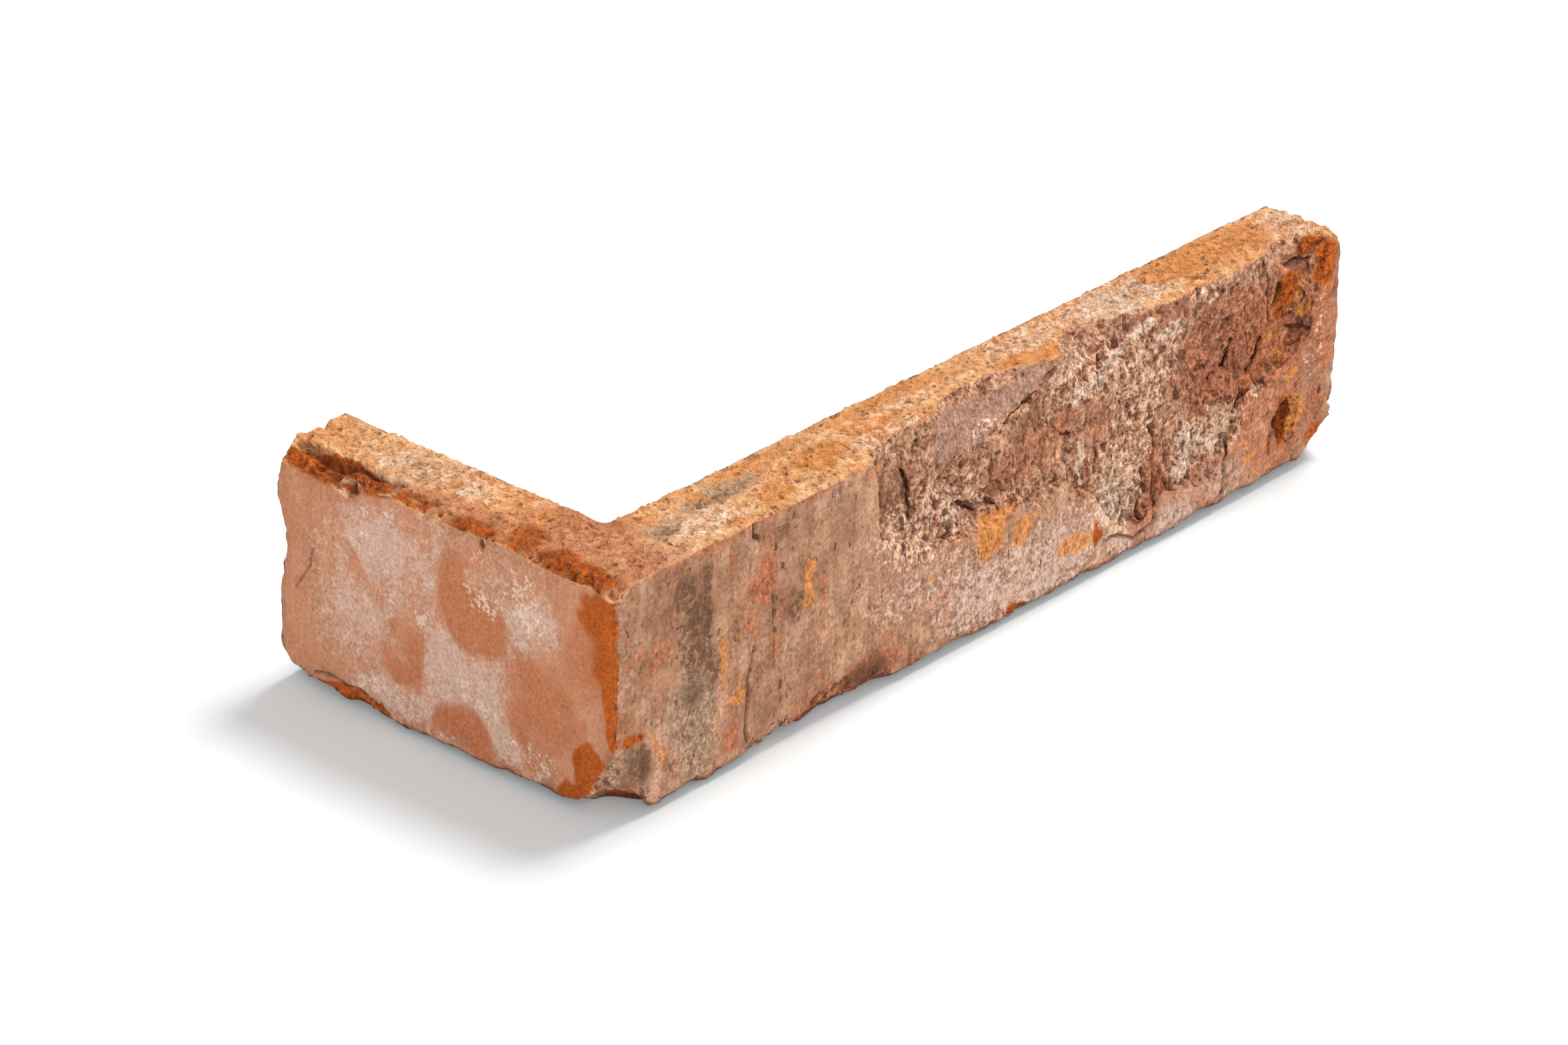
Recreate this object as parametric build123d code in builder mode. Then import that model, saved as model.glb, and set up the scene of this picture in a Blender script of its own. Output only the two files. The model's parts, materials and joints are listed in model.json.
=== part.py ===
from build123d import *
from math import cos, radians, sin, sqrt
from typing import NamedTuple
import os

# Corner slip sawn from one reclaimed clay brick. It is a single L of fired clay: the long leg
# carries the brick's stretcher face, the short leg its header face, and the two sawn backs
# meet in the corner that wraps round the wall. It stands on its lower bed.
#
# Frame: X runs along the stretcher, Y along the header, Z up through the course. The origin is
# in the middle of the slip's footprint, on the lower bed. The stretcher face looks along -Y
# and the header face along -X, so the outer corner of the wall is at (-X, -Y).

# Driving dimensions, in millimetres
stretcher_length = 290.0  # long leg, over the outside
header_length = 117.0  # short leg, over the outside
bed_height = 67.0  # from the lower bed to the upper bed
stretcher_thickness = 26.0
header_thickness = 24.5
saw_root_radius = 2.0  # left by the blade where the two back cuts meet
corner_rounding = 2.5  # worn vertical arris of the wall's corner
arris_rounding = 0.8  # worn arrises along the beds

# Spalled pocket in the stretcher face, open at the upper bed
spall_start = 98.0  # from the wall's corner to the pocket
spall_margin = 10.0  # from the pocket to the far end
spall_foot_depth = 2.0  # depth of the pocket's floor at the lower bed
spall_head_depth = 5.5  # and at the upper bed
# Ragged lower edge of the pocket: share of the way along it, height above the lower bed
spall_edge = [
    (0.00, 44.0),
    (0.06, 38.0),
    (0.16, 32.5),
    (0.23, 34.5),
    (0.42, 32.0),
    (0.48, 25.0),
    (0.52, 14.0),
    (0.59, 7.5),
    (0.64, 14.5),
    (0.775, 9.0),
    (0.815, 21.0),
    (0.84, 31.0),
    (0.895, 34.0),
    (0.98, 37.0),
    (1.00, 45.0),
]
clear_of_brick = 5.0  # how far a cut runs past the faces that it opens


class Ramp(NamedTuple):
    """A scar that slopes down the stretcher face from its upper arris, rounded across."""

    place: float  # along the arris, to the middle of the scar
    length: float  # along the arris
    face_bite: float  # down the face
    bed_bite: float  # into the upper bed


class Flake(NamedTuple):
    """A shell-shaped scar on an arris, where a flake has come off."""

    place: float  # along the arris, to the middle of the scar
    length: float  # along the arris
    face_bite: float  # across the face, square to the arris
    bed_bite: float  # across the bed or end, square to the arris


class Chip(NamedTuple):
    """A corner that has broken off, with its reach along each edge from the corner."""

    along_x: float
    along_y: float
    along_z: float
    fracture_radius: float  # of the hollow that the break leaves


class Hollow(NamedTuple):
    """A round hollow in the lower bed, where a lump has come off below a corner."""

    along_x: float  # from the corner to its middle
    along_y: float
    rim_radius: float
    height: float  # above the lower bed


class Pit(NamedTuple):
    """A round hollow in the stretcher face, where a pebble has fallen out."""

    from_far_end: float
    from_bed: float
    rim_radius: float
    depth: float


class Cleft(NamedTuple):
    """A lens-shaped cleft in the pocket's floor, between two lumps of clay."""

    place: float  # along the stretcher from the wall's corner, to its middle
    from_bed: float  # up from the lower bed, to its middle
    length: float
    width: float
    depth: float  # below the pocket's floor
    lean: float  # of its upper end towards the far end, in degrees


class Scoop(NamedTuple):
    """A round hollow in the pocket's floor, between the lumps of clay."""

    place: float  # along the stretcher from the wall's corner, to its middle
    from_bed: float  # up from the lower bed, to its middle
    rim_radius: float
    depth: float  # below the pocket's floor


# Ramps down the stretcher face, the first ones measured from the wall's corner
near_ramps = [
    Ramp(place=117.0, length=44.0, face_bite=40.0, bed_bite=7.5),
    Ramp(place=148.0, length=66.0, face_bite=27.0, bed_bite=13.5),
    Ramp(place=193.0, length=33.0, face_bite=24.0, bed_bite=16.0),
    Ramp(place=206.0, length=44.0, face_bite=26.0, bed_bite=10.5),
]
# and the last ones from the far end
far_ramps = [
    Ramp(place=52.0, length=30.0, face_bite=22.0, bed_bite=6.0),
    Ramp(place=17.0, length=26.0, face_bite=24.0, bed_bite=10.0),
]

# Clefts and hollows in the pocket's floor
clefts = [
    Cleft(place=114.5, from_bed=49.0, length=24.0, width=5.0, depth=2.8, lean=-8.0),
    Cleft(place=145.0, from_bed=38.5, length=28.0, width=9.0, depth=3.0, lean=82.0),
    Cleft(place=179.0, from_bed=38.0, length=20.0, width=6.0, depth=2.8, lean=4.0),
    Cleft(place=191.5, from_bed=31.0, length=22.0, width=5.0, depth=2.6, lean=0.0),
    Cleft(place=210.5, from_bed=24.0, length=20.0, width=5.0, depth=2.4, lean=-4.0),
    Cleft(place=221.0, from_bed=33.0, length=28.0, width=6.0, depth=2.8, lean=2.0),
    Cleft(place=248.5, from_bed=43.0, length=20.0, width=6.0, depth=4.0, lean=12.0),
    Cleft(place=260.0, from_bed=39.0, length=18.0, width=6.0, depth=3.2, lean=18.0),
]
scoops = [
    Scoop(place=131.0, from_bed=47.0, rim_radius=7.0, depth=2.2),
    Scoop(place=163.0, from_bed=41.0, rim_radius=8.0, depth=2.4),
    Scoop(place=171.5, from_bed=52.5, rim_radius=9.0, depth=4.0),
    Scoop(place=203.0, from_bed=20.0, rim_radius=6.0, depth=2.2),
    Scoop(place=205.0, from_bed=41.0, rim_radius=8.0, depth=1.8),
    Scoop(place=228.0, from_bed=50.0, rim_radius=8.0, depth=3.0),
    Scoop(place=236.0, from_bed=36.0, rim_radius=7.5, depth=2.4),
    Scoop(place=234.0, from_bed=20.0, rim_radius=7.0, depth=2.0),
]

# Scars along the stretcher's lower arris, measured from the wall's corner
stretcher_foot_flakes = [
    Flake(place=61.0, length=30.0, face_bite=7.5, bed_bite=4.2),
    Flake(place=83.0, length=38.0, face_bite=10.5, bed_bite=3.8),
    Flake(place=99.0, length=20.0, face_bite=10.5, bed_bite=1.2),
    Flake(place=120.0, length=10.0, face_bite=2.2, bed_bite=1.8),
    Flake(place=154.5, length=13.0, face_bite=5.0, bed_bite=2.0),
]
# Scars along the upper and lower arrises of the header, measured from its end
header_head_flakes = [
    Flake(place=12.0, length=62.0, face_bite=5.0, bed_bite=8.5),
    Flake(place=24.5, length=12.0, face_bite=6.8, bed_bite=5.0),
    Flake(place=60.0, length=56.0, face_bite=2.6, bed_bite=3.5),
    Flake(place=97.0, length=44.0, face_bite=3.2, bed_bite=4.0),
]
header_foot_flakes = [
    Flake(place=4.0, length=34.0, face_bite=5.8, bed_bite=5.5),
    Flake(place=25.0, length=38.0, face_bite=6.5, bed_bite=1.4),
]
# Scars up the header's end, measured from the lower bed
header_end_flakes = [Flake(place=40.0, length=26.0, face_bite=3.2, bed_bite=3.0)]

wall_corner_foot_chip = Chip(along_x=14.0, along_y=12.0, along_z=21.5, fracture_radius=60.0)
wall_corner_head_chip = Chip(along_x=7.0, along_y=13.0, along_z=4.5, fracture_radius=40.0)
header_end_foot_chip = Chip(along_x=7.0, along_y=7.0, along_z=9.5, fracture_radius=24.0)
header_end_head_chip = Chip(along_x=6.0, along_y=2.0, along_z=11.0, fracture_radius=40.0)
stretcher_end_foot_chip = Chip(along_x=14.0, along_y=8.0, along_z=11.5, fracture_radius=34.0)
stretcher_end_head_chip = Chip(along_x=4.0, along_y=4.0, along_z=3.5, fracture_radius=24.0)
wall_corner_foot_hollow = Hollow(along_x=4.5, along_y=5.5, rim_radius=10.5, height=8.0)

# Pits, the upper ones measured down from the upper bed and the lower one up from the lower bed
upper_pits = [
    Pit(from_far_end=24.0, from_bed=8.5, rim_radius=6.5, depth=7.5),
    Pit(from_far_end=18.0, from_bed=20.0, rim_radius=6.5, depth=6.5),
]
lower_pits = [Pit(from_far_end=20.5, from_bed=17.0, rim_radius=6.8, depth=6.0)]

# Outer faces and sawn backs
header_face = -stretcher_length / 2
stretcher_end = stretcher_length / 2
stretcher_face = -header_length / 2
header_end = header_length / 2
stretcher_back = stretcher_face + stretcher_thickness
header_back = header_face + header_thickness

# Directions that the outer faces look in
OUT_OF_STRETCHER = Vector(0, -1, 0)
OUT_OF_HEADER = Vector(-1, 0, 0)
OUT_OF_HEADER_END = Vector(0, 1, 0)
UP = Vector(0, 0, 1)


def ramp_axis(ramp, middle):
    """Plane whose Z is the axis of the cylinder that leaves a ramp, and the cylinder's radius.

    The cylinder's deepest line runs from the bite in the bed, out to the foot of the ramp on the
    face. Its radius gives the scar its length where it opens on the arris.
    """
    slant = sqrt(ramp.face_bite**2 + ramp.bed_bite**2)
    square_bite = ramp.bed_bite * ramp.face_bite / slant
    radius = ((ramp.length / 2) ** 2 + square_bite**2) / (2 * square_bite)
    down_the_ramp = Vector(0, -ramp.bed_bite, -ramp.face_bite)
    out_of_ramp = Vector(0, -ramp.face_bite, ramp.bed_bite)
    deepest = Vector(middle, stretcher_face + ramp.bed_bite, bed_height)
    return Plane(origin=deepest + out_of_ramp * (radius / slant), z_dir=down_the_ramp), radius


def flake_sphere(start, along, face_out, bed_out, flake):
    """Centre and radius of the sphere that leaves a flake's scar on an arris.

    The sphere passes through both ends of the scar and through its two bites. The bite across
    the bed sets how far the sphere stands out of the face, and the other way round.
    """
    half = flake.length / 2
    stands_out = (half**2 - flake.bed_bite**2) / (2 * flake.bed_bite)
    stands_up = (half**2 - flake.face_bite**2) / (2 * flake.face_bite)
    centre = start + along * flake.place + face_out * stands_out + bed_out * stands_up
    return centre, sqrt(half**2 + stands_out**2 + stands_up**2)


def chip_sphere(corner, inward, chip):
    """Centre of the sphere, of the chip's fracture radius, through its reach along each edge.

    inward gives the sense of X, Y and Z along the edges, from the corner into the slip.
    """
    reaches = (chip.along_x, chip.along_y, chip.along_z)
    curve = sum(1 / (4 * reach**2) for reach in reaches)
    spread = sum(reach**2 / 4 for reach in reaches) - chip.fracture_radius**2
    power = (0.5 + sqrt(0.25 - 4 * curve * spread)) / (2 * curve)
    offsets = [sense * (reach**2 - power) / (2 * reach) for sense, reach in zip(inward, reaches)]
    return corner + Vector(*offsets)


def hollow_sphere(corner, hollow):
    """Centre and radius of the sphere that leaves a hollow below a corner of the lower bed."""
    radius = (hollow.rim_radius**2 + hollow.height**2) / (2 * hollow.height)
    return corner + Vector(hollow.along_x, hollow.along_y, hollow.height - radius), radius


def pit_sphere(pit, height):
    """Centre and radius of the sphere that leaves a pit of that rim and depth at a height."""
    radius = (pit.rim_radius**2 + pit.depth**2) / (2 * pit.depth)
    mouth = Vector(stretcher_end - pit.from_far_end, stretcher_face, height)
    return mouth + OUT_OF_STRETCHER * (radius - pit.depth), radius


# Pocket: its outline is drawn on the stretcher face, and its floor leans back towards the top
spall_length = stretcher_length - spall_start - spall_margin
spall_left = header_face + spall_start
spall_right = spall_left + spall_length
spall_head = bed_height + clear_of_brick
spall_lean = (spall_head_depth - spall_foot_depth) / bed_height
spall_reach = spall_foot_depth + spall_lean * spall_head

with BuildPart() as spall_cutter:
    with BuildSketch(Plane.XZ.offset(-stretcher_face + clear_of_brick)):
        with BuildLine():
            lower_edge = [(spall_left + share * spall_length, height) for share, height in spall_edge]
            Polyline(*lower_edge, (spall_right, spall_head), (spall_left, spall_head), close=True)
        make_face()
    extrude(amount=-(clear_of_brick + spall_reach))
    split(
        bisect_by=Plane(
            origin=(0, stretcher_face + spall_foot_depth, 0),
            x_dir=(1, 0, 0),
            z_dir=(0, -1, spall_lean),
        ),
        keep=Keep.TOP,
    )



def pocket_floor(place, from_bed, lean=0.0):
    """Plane on the pocket's floor, with X up along it, leaning over, and Z out of the brick."""
    depth = spall_foot_depth + spall_lean * from_bed
    origin = Vector(header_face + place, stretcher_face + depth, from_bed)
    up_the_floor = Vector(0, spall_lean, 1).normalized()
    leaning = up_the_floor * cos(radians(lean)) + Vector(1, 0, 0) * sin(radians(lean))
    return Plane(origin, x_dir=leaning, z_dir=(0, -1, spall_lean))


def cleft_lens(cleft):
    """Lens, standing on edge in the pocket's floor, that leaves a cleft there.

    Its rim is a circle through both ends of the cleft and its deepest point. Its two cheeks are
    as far apart as the cleft is wide where they pass through the floor.
    """
    rim = ((cleft.length / 2) ** 2 + cleft.depth**2) / (2 * cleft.depth)
    stands_out = rim - cleft.depth
    half = cleft.width / 2
    behind = (rim**2 - stands_out**2 - half**2) / (2 * half)
    cheek_radius = sqrt(rim**2 + behind**2)
    bulge = cheek_radius - behind
    floor = pocket_floor(cleft.place, cleft.from_bed, cleft.lean)
    middle = Plane(floor.origin + floor.z_dir * stands_out, x_dir=floor.x_dir, z_dir=floor.z_dir)
    with BuildPart() as lens:
        with BuildSketch(middle):
            with BuildLine():
                Line((0, -bulge), (0, bulge))
                TangentArc((0, bulge), (rim, 0), tangent=(1, 0))
                TangentArc((0, -bulge), (rim, 0), tangent=(1, 0))
            make_face()
        revolve(axis=Axis(middle.origin, middle.y_dir))
    return lens.part


def scoop_sphere(scoop):
    """Centre and radius of the sphere that leaves a round hollow in the pocket's floor."""
    radius = (scoop.rim_radius**2 + scoop.depth**2) / (2 * scoop.depth)
    floor = pocket_floor(scoop.place, scoop.from_bed)
    return floor.origin + floor.z_dir * (radius - scoop.depth), radius


cleft_lenses = [cleft_lens(cleft) for cleft in clefts]

# Where each ramp and pit lies, and the arrises and corners that are broken
ramps = [(ramp, header_face + ramp.place) for ramp in near_ramps]
ramps += [(ramp, stretcher_end - ramp.place) for ramp in far_ramps]
pits = [(pit, bed_height - pit.from_bed) for pit in upper_pits]
pits += [(pit, pit.from_bed) for pit in lower_pits]

near_foot = Vector(header_face, stretcher_face, 0)
near_head = Vector(header_face, stretcher_face, bed_height)
header_far_foot = Vector(header_face, header_end, 0)
header_far_head = Vector(header_face, header_end, bed_height)
stretcher_far_foot = Vector(stretcher_end, stretcher_face, 0)
stretcher_far_head = Vector(stretcher_end, stretcher_face, bed_height)

along_stretcher = Vector(1, 0, 0)
along_header = Vector(0, -1, 0)
flaked_arrises = [
    (near_foot, along_stretcher, OUT_OF_STRETCHER, -UP, stretcher_foot_flakes),
    (header_far_head, along_header, OUT_OF_HEADER, UP, header_head_flakes),
    (header_far_foot, along_header, OUT_OF_HEADER, -UP, header_foot_flakes),
    (header_far_foot, UP, OUT_OF_HEADER, OUT_OF_HEADER_END, header_end_flakes),
]
chipped_corners = [
    (near_foot, (1, 1, 1), wall_corner_foot_chip),
    (near_head, (1, 1, -1), wall_corner_head_chip),
    (header_far_foot, (1, -1, 1), header_end_foot_chip),
    (header_far_head, (1, -1, -1), header_end_head_chip),
    (stretcher_far_foot, (-1, 1, 1), stretcher_end_foot_chip),
    (stretcher_far_head, (-1, 1, -1), stretcher_end_head_chip),
]

with BuildPart() as corner_slip:
    # The L of the two legs, with the root of the saw cuts in its inner corner
    with BuildSketch():
        with BuildLine():
            Polyline(
                (header_face, stretcher_face),
                (stretcher_end, stretcher_face),
                (stretcher_end, stretcher_back),
                (header_back, stretcher_back),
                (header_back, header_end),
                (header_face, header_end),
                close=True,
            )
        make_face()
    extrude(amount=bed_height)
    upright = corner_slip.edges().filter_by(Axis.Z)
    fillet(upright.sort_by_distance((header_face, stretcher_face, bed_height / 2))[0], corner_rounding)
    fillet(upright.sort_by_distance((header_back, stretcher_back, bed_height / 2))[0], saw_root_radius)

    # Worn arrises along both beds, on the two outer faces
    bed_edges = corner_slip.edges().group_by(Axis.Z)[0] + corner_slip.edges().group_by(Axis.Z)[-1]
    outer_faces = corner_slip.faces().sort_by(Axis.X)[0], corner_slip.faces().sort_by(Axis.Y)[0]
    fillet([edge for edge in bed_edges if any(edge in face.edges() for face in outer_faces)], arris_rounding)

    # The pocket and the breakages
    add(spall_cutter.part, mode=Mode.SUBTRACT)
    for ramp, middle in ramps:
        axis_plane, radius = ramp_axis(ramp, middle)
        with Locations(axis_plane):
            Cylinder(radius, 2 * (bed_height + radius), mode=Mode.SUBTRACT)
    for start, along, face_out, bed_out, flakes in flaked_arrises:
        for flake in flakes:
            centre, radius = flake_sphere(start, along, face_out, bed_out, flake)
            with Locations(centre):
                Sphere(radius, mode=Mode.SUBTRACT)
    for corner, inward, chip in chipped_corners:
        with Locations(chip_sphere(corner, inward, chip)):
            Sphere(chip.fracture_radius, mode=Mode.SUBTRACT)
    centre, radius = hollow_sphere(near_foot, wall_corner_foot_hollow)
    with Locations(centre):
        Sphere(radius, mode=Mode.SUBTRACT)
    for pit, height in pits:
        centre, radius = pit_sphere(pit, height)
        with Locations(centre):
            Sphere(radius, mode=Mode.SUBTRACT)
    for scoop in scoops:
        centre, radius = scoop_sphere(scoop)
        with Locations(centre):
            Sphere(radius, mode=Mode.SUBTRACT)
    for lens in cleft_lenses:
        add(lens, mode=Mode.SUBTRACT)

corner_slip.part.label = "corner_slip"
os.makedirs("parts", exist_ok=True)
export_step(corner_slip.part, "parts/corner_slip.step")
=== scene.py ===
import json
import logging
import math
from dataclasses import dataclass
from enum import Enum
from itertools import product
from typing import Any

import bmesh
import bpy
import numpy as np
from mathutils import Matrix, Vector


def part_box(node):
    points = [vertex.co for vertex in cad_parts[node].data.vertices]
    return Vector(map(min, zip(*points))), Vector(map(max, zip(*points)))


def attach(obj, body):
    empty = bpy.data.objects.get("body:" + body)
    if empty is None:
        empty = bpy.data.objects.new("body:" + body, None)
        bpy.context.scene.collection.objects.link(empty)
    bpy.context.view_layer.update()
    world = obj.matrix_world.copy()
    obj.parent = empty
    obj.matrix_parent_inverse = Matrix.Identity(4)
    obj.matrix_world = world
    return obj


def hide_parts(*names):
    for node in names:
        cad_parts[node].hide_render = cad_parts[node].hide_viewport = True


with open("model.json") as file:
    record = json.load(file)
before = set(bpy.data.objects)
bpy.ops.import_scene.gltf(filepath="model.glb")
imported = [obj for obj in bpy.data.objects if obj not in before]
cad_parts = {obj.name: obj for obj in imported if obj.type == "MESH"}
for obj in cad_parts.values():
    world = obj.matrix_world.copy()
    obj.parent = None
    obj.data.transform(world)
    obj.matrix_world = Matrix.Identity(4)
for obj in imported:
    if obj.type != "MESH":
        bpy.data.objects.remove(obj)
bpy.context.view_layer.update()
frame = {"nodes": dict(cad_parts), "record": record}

LOG = logging.getLogger("corner_slip")
MM = 0.001
NODE = "corner_slip"
BODY = "root"

Array = np.ndarray
Colour = tuple[float, float, float]


def srgb(red: int, green: int, blue: int) -> Colour:
    """A colour as a screen shows it, 0 to 255, turned to the linear light that shaders use.

    Args:
        red: Red on the screen.
        green: Green on the screen.
        blue: Blue on the screen.

    Returns:
        The linear colour, 0 to 1.
    """
    def linear(value: int) -> float:
        """One channel, made linear."""
        share = value / 255
        return share / 12.92 if share <= 0.04045 else ((share + 0.055) / 1.055) ** 2.4

    return linear(red), linear(green), linear(blue)


def smooth(low: float, high: float, value: Array) -> Array:
    """A soft step over an array, 0 at low and 1 at high; low may be the larger.

    Args:
        low: Where the step starts.
        high: Where it ends.
        value: What is stepped.

    Returns:
        The step, 0 to 1.
    """
    share = np.clip((value - low) / (high - low), 0, 1)
    return share * share * (3 - 2 * share)


class Face(Enum):
    """The slip's outer faces, each with its own places along and up from the wall's corner."""

    STRETCHER = "stretcher"
    HEADER = "header"
    BED = "bed"


class Stain(Enum):
    """What colours the clay. Each is kept on the mesh as an attribute of that name."""

    WASH = "wash"
    BROWN = "brown"
    LICHEN = "lichen"
    RED = "red"
    SAND = "sand"
    SMOOTH = "smooth"
    ORANGE = "orange"
    YELLOW = "yellow"
    FRESH = "fresh"
    SOOT = "soot"
    LIME = "lime"


class Mark(Enum):
    """What a stroke leaves in the clay."""

    CRACK = "crack"
    CREASE = "crease"
    GOUGE = "gouge"


class Grain:
    """Gradient noise on a hashed lattice, the same on each run for the same seed."""

    TABLE = 512
    SPREAD = 1.7

    def __init__(self, seed: int) -> None:
        """Draws the lattice's directions.

        Args:
            seed: Which grain it is.
        """
        rng = np.random.default_rng(seed)
        self._order = rng.permutation(self.TABLE)
        directions = rng.normal(size=(self.TABLE, 3))
        self._directions = directions / np.linalg.norm(directions, axis=1, keepdims=True)
        self._seats = rng.uniform(0.1, 0.9, (self.TABLE, 3))
        self._ranks = rng.uniform(0, 1, self.TABLE)
        self._shift = rng.uniform(10, 90, 3)

    def _pick(self, cell: Array) -> Array:
        """The table entry of each lattice cell."""
        entry = self._order[cell[:, 0] % self.TABLE]
        entry = self._order[(entry + cell[:, 1]) % self.TABLE]
        return self._order[(entry + cell[:, 2]) % self.TABLE]

    def at(self, points: Array, size: float) -> Array:
        """Smooth noise, about -1 to 1.

        Args:
            points: Where it is read, in millimetres.
            size: How large its lumps are, in millimetres.

        Returns:
            One value a point.
        """
        scaled = points / size + self._shift
        cell = np.floor(scaled).astype(int)
        part = scaled - cell
        fade = part**3 * (part * (part * 6 - 15) + 10)
        total = np.zeros(len(points))
        for corner in product((0, 1), repeat=3):
            slope = self._directions[self._pick(cell + corner)]
            weight = np.prod(np.where(corner, fade, 1 - fade), axis=1)
            total += weight * np.sum(slope * (part - corner), axis=1)
        return total * self.SPREAD

    def layered(self, points: Array, size: float, layers: int, gain: float = 0.5) -> Array:
        """Noise of several sizes, each half as large as the one before.

        Args:
            points: Where it is read, in millimetres.
            size: The size of its largest lumps, in millimetres.
            layers: How many sizes it has.
            gain: How much weaker each smaller size is.

        Returns:
            One value a point, about -1 to 1.
        """
        weights = [gain**layer for layer in range(layers)]
        parts = [weight * self.at(points, size / 2**layer) for layer, weight in enumerate(weights)]
        return sum(parts) / sum(weights)

    def cells(self, points: Array, size: float) -> tuple[Array, Array]:
        """Scattered seeds, one a cell.

        Args:
            points: Where they are read, in millimetres.
            size: How far apart the seeds are, in millimetres.

        Returns:
            How far the nearest seed is, in cells, and that seed's own number from 0 to 1.
        """
        scaled = points / size + self._shift
        cell = np.floor(scaled).astype(int)
        nearest = np.full(len(points), np.inf)
        rank = np.zeros(len(points))
        for step in product((-1, 0, 1), repeat=3):
            entry = self._pick(cell + step)
            away = np.linalg.norm(cell + step + self._seats[entry] - scaled, axis=1)
            closer = away < nearest
            nearest = np.where(closer, away, nearest)
            rank = np.where(closer, self._ranks[entry], rank)
        return nearest, rank


class Web:
    """Which points of a mesh are neighbours, for evening out values over its surface."""

    def __init__(self, mesh: bpy.types.Mesh) -> None:
        """Reads the mesh's edges.

        Args:
            mesh: The mesh, whose points keep their order.
        """
        ends = np.empty(len(mesh.edges) * 2, np.int32)
        mesh.edges.foreach_get("vertices", ends)
        ends = ends.reshape(-1, 2)
        self._from = np.concatenate([ends[:, 0], ends[:, 1]])
        self._to = np.concatenate([ends[:, 1], ends[:, 0]])
        self._count = np.bincount(self._from, minlength=len(mesh.vertices))

    def mean(self, values: Array, rounds: int = 1) -> Array:
        """Each point's value, evened out with its neighbours' values.

        Args:
            values: One number or one row a point.
            rounds: How many times it is evened out.

        Returns:
            The evened values, in the same form.
        """
        rows = values.reshape(len(values), -1)
        for _ in range(rounds):
            sums = [np.bincount(self._from, column[self._to], len(rows)) for column in rows.T]
            rows = (rows + np.stack(sums, 1)) / (1 + self._count[:, None])
        return rows.reshape(values.shape)


@dataclass(frozen=True)
class Patch:
    """A stain on a face, with a ragged rim, in millimetres.

    Attributes:
        along: Its middle, from the wall's corner along the face.
        up: Its middle, up from the lower bed; on the bed, back from the stretcher face.
        half_along: Half its length.
        half_up: Half its height.
        turn: How far it is turned on the face, in degrees.
        strength: How strong it is in its middle, 0 to 1.
        soft: Which share of its reach fades out.
        boxy: 2 for an oval, more for a rounded box.
    """

    along: float
    up: float
    half_along: float
    half_up: float
    turn: float = 0.0
    strength: float = 1.0
    soft: float = 0.8
    boxy: float = 2.0

    def cover(self, along: Array, up: Array) -> Array:
        """How strongly it covers places on its face.

        Args:
            along: The places, along the face.
            up: The places, up the face.

        Returns:
            Its strength there, 0 to 1.
        """
        angle = math.radians(self.turn)
        east, north = along - self.along, up - self.up
        across = (east * math.cos(angle) + north * math.sin(angle)) / self.half_along
        over = (north * math.cos(angle) - east * math.sin(angle)) / self.half_up
        away = (np.abs(across) ** self.boxy + np.abs(over) ** self.boxy) ** (1 / self.boxy)
        return self.strength * smooth(1 + self.soft / 2, 1 - self.soft / 2, away)


@dataclass(frozen=True)
class Stroke:
    """A crack, crease or gouge along a line on a face, in millimetres.

    Attributes:
        points: The places that it runs through, along and up the face.
        width: How wide it is.
        depth: How deep it is.
    """

    points: tuple[tuple[float, float], ...]
    width: float
    depth: float

    def cover(self, along: Array, up: Array) -> Array:
        """How deep it is at places on its face, as a share of its depth.

        Args:
            along: The places, along the face.
            up: The places, up the face.

        Returns:
            The share, 1 in the middle of the line and 0 past its width.
        """
        away = np.full(len(along), np.inf)
        for (east, north), (next_east, next_north) in zip(self.points, self.points[1:]):
            run, rise = next_east - east, next_north - north
            share = ((along - east) * run + (up - north) * rise) / (run * run + rise * rise)
            share = np.clip(share, 0, 1)
            away = np.minimum(away, np.hypot(along - east - share * run, up - north - share * rise))
        return smooth(self.width, self.width * 0.2, away)


Patches = dict[Stain, tuple[Patch, ...]]
Strokes = dict[Mark, tuple[Stroke, ...]]

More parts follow.
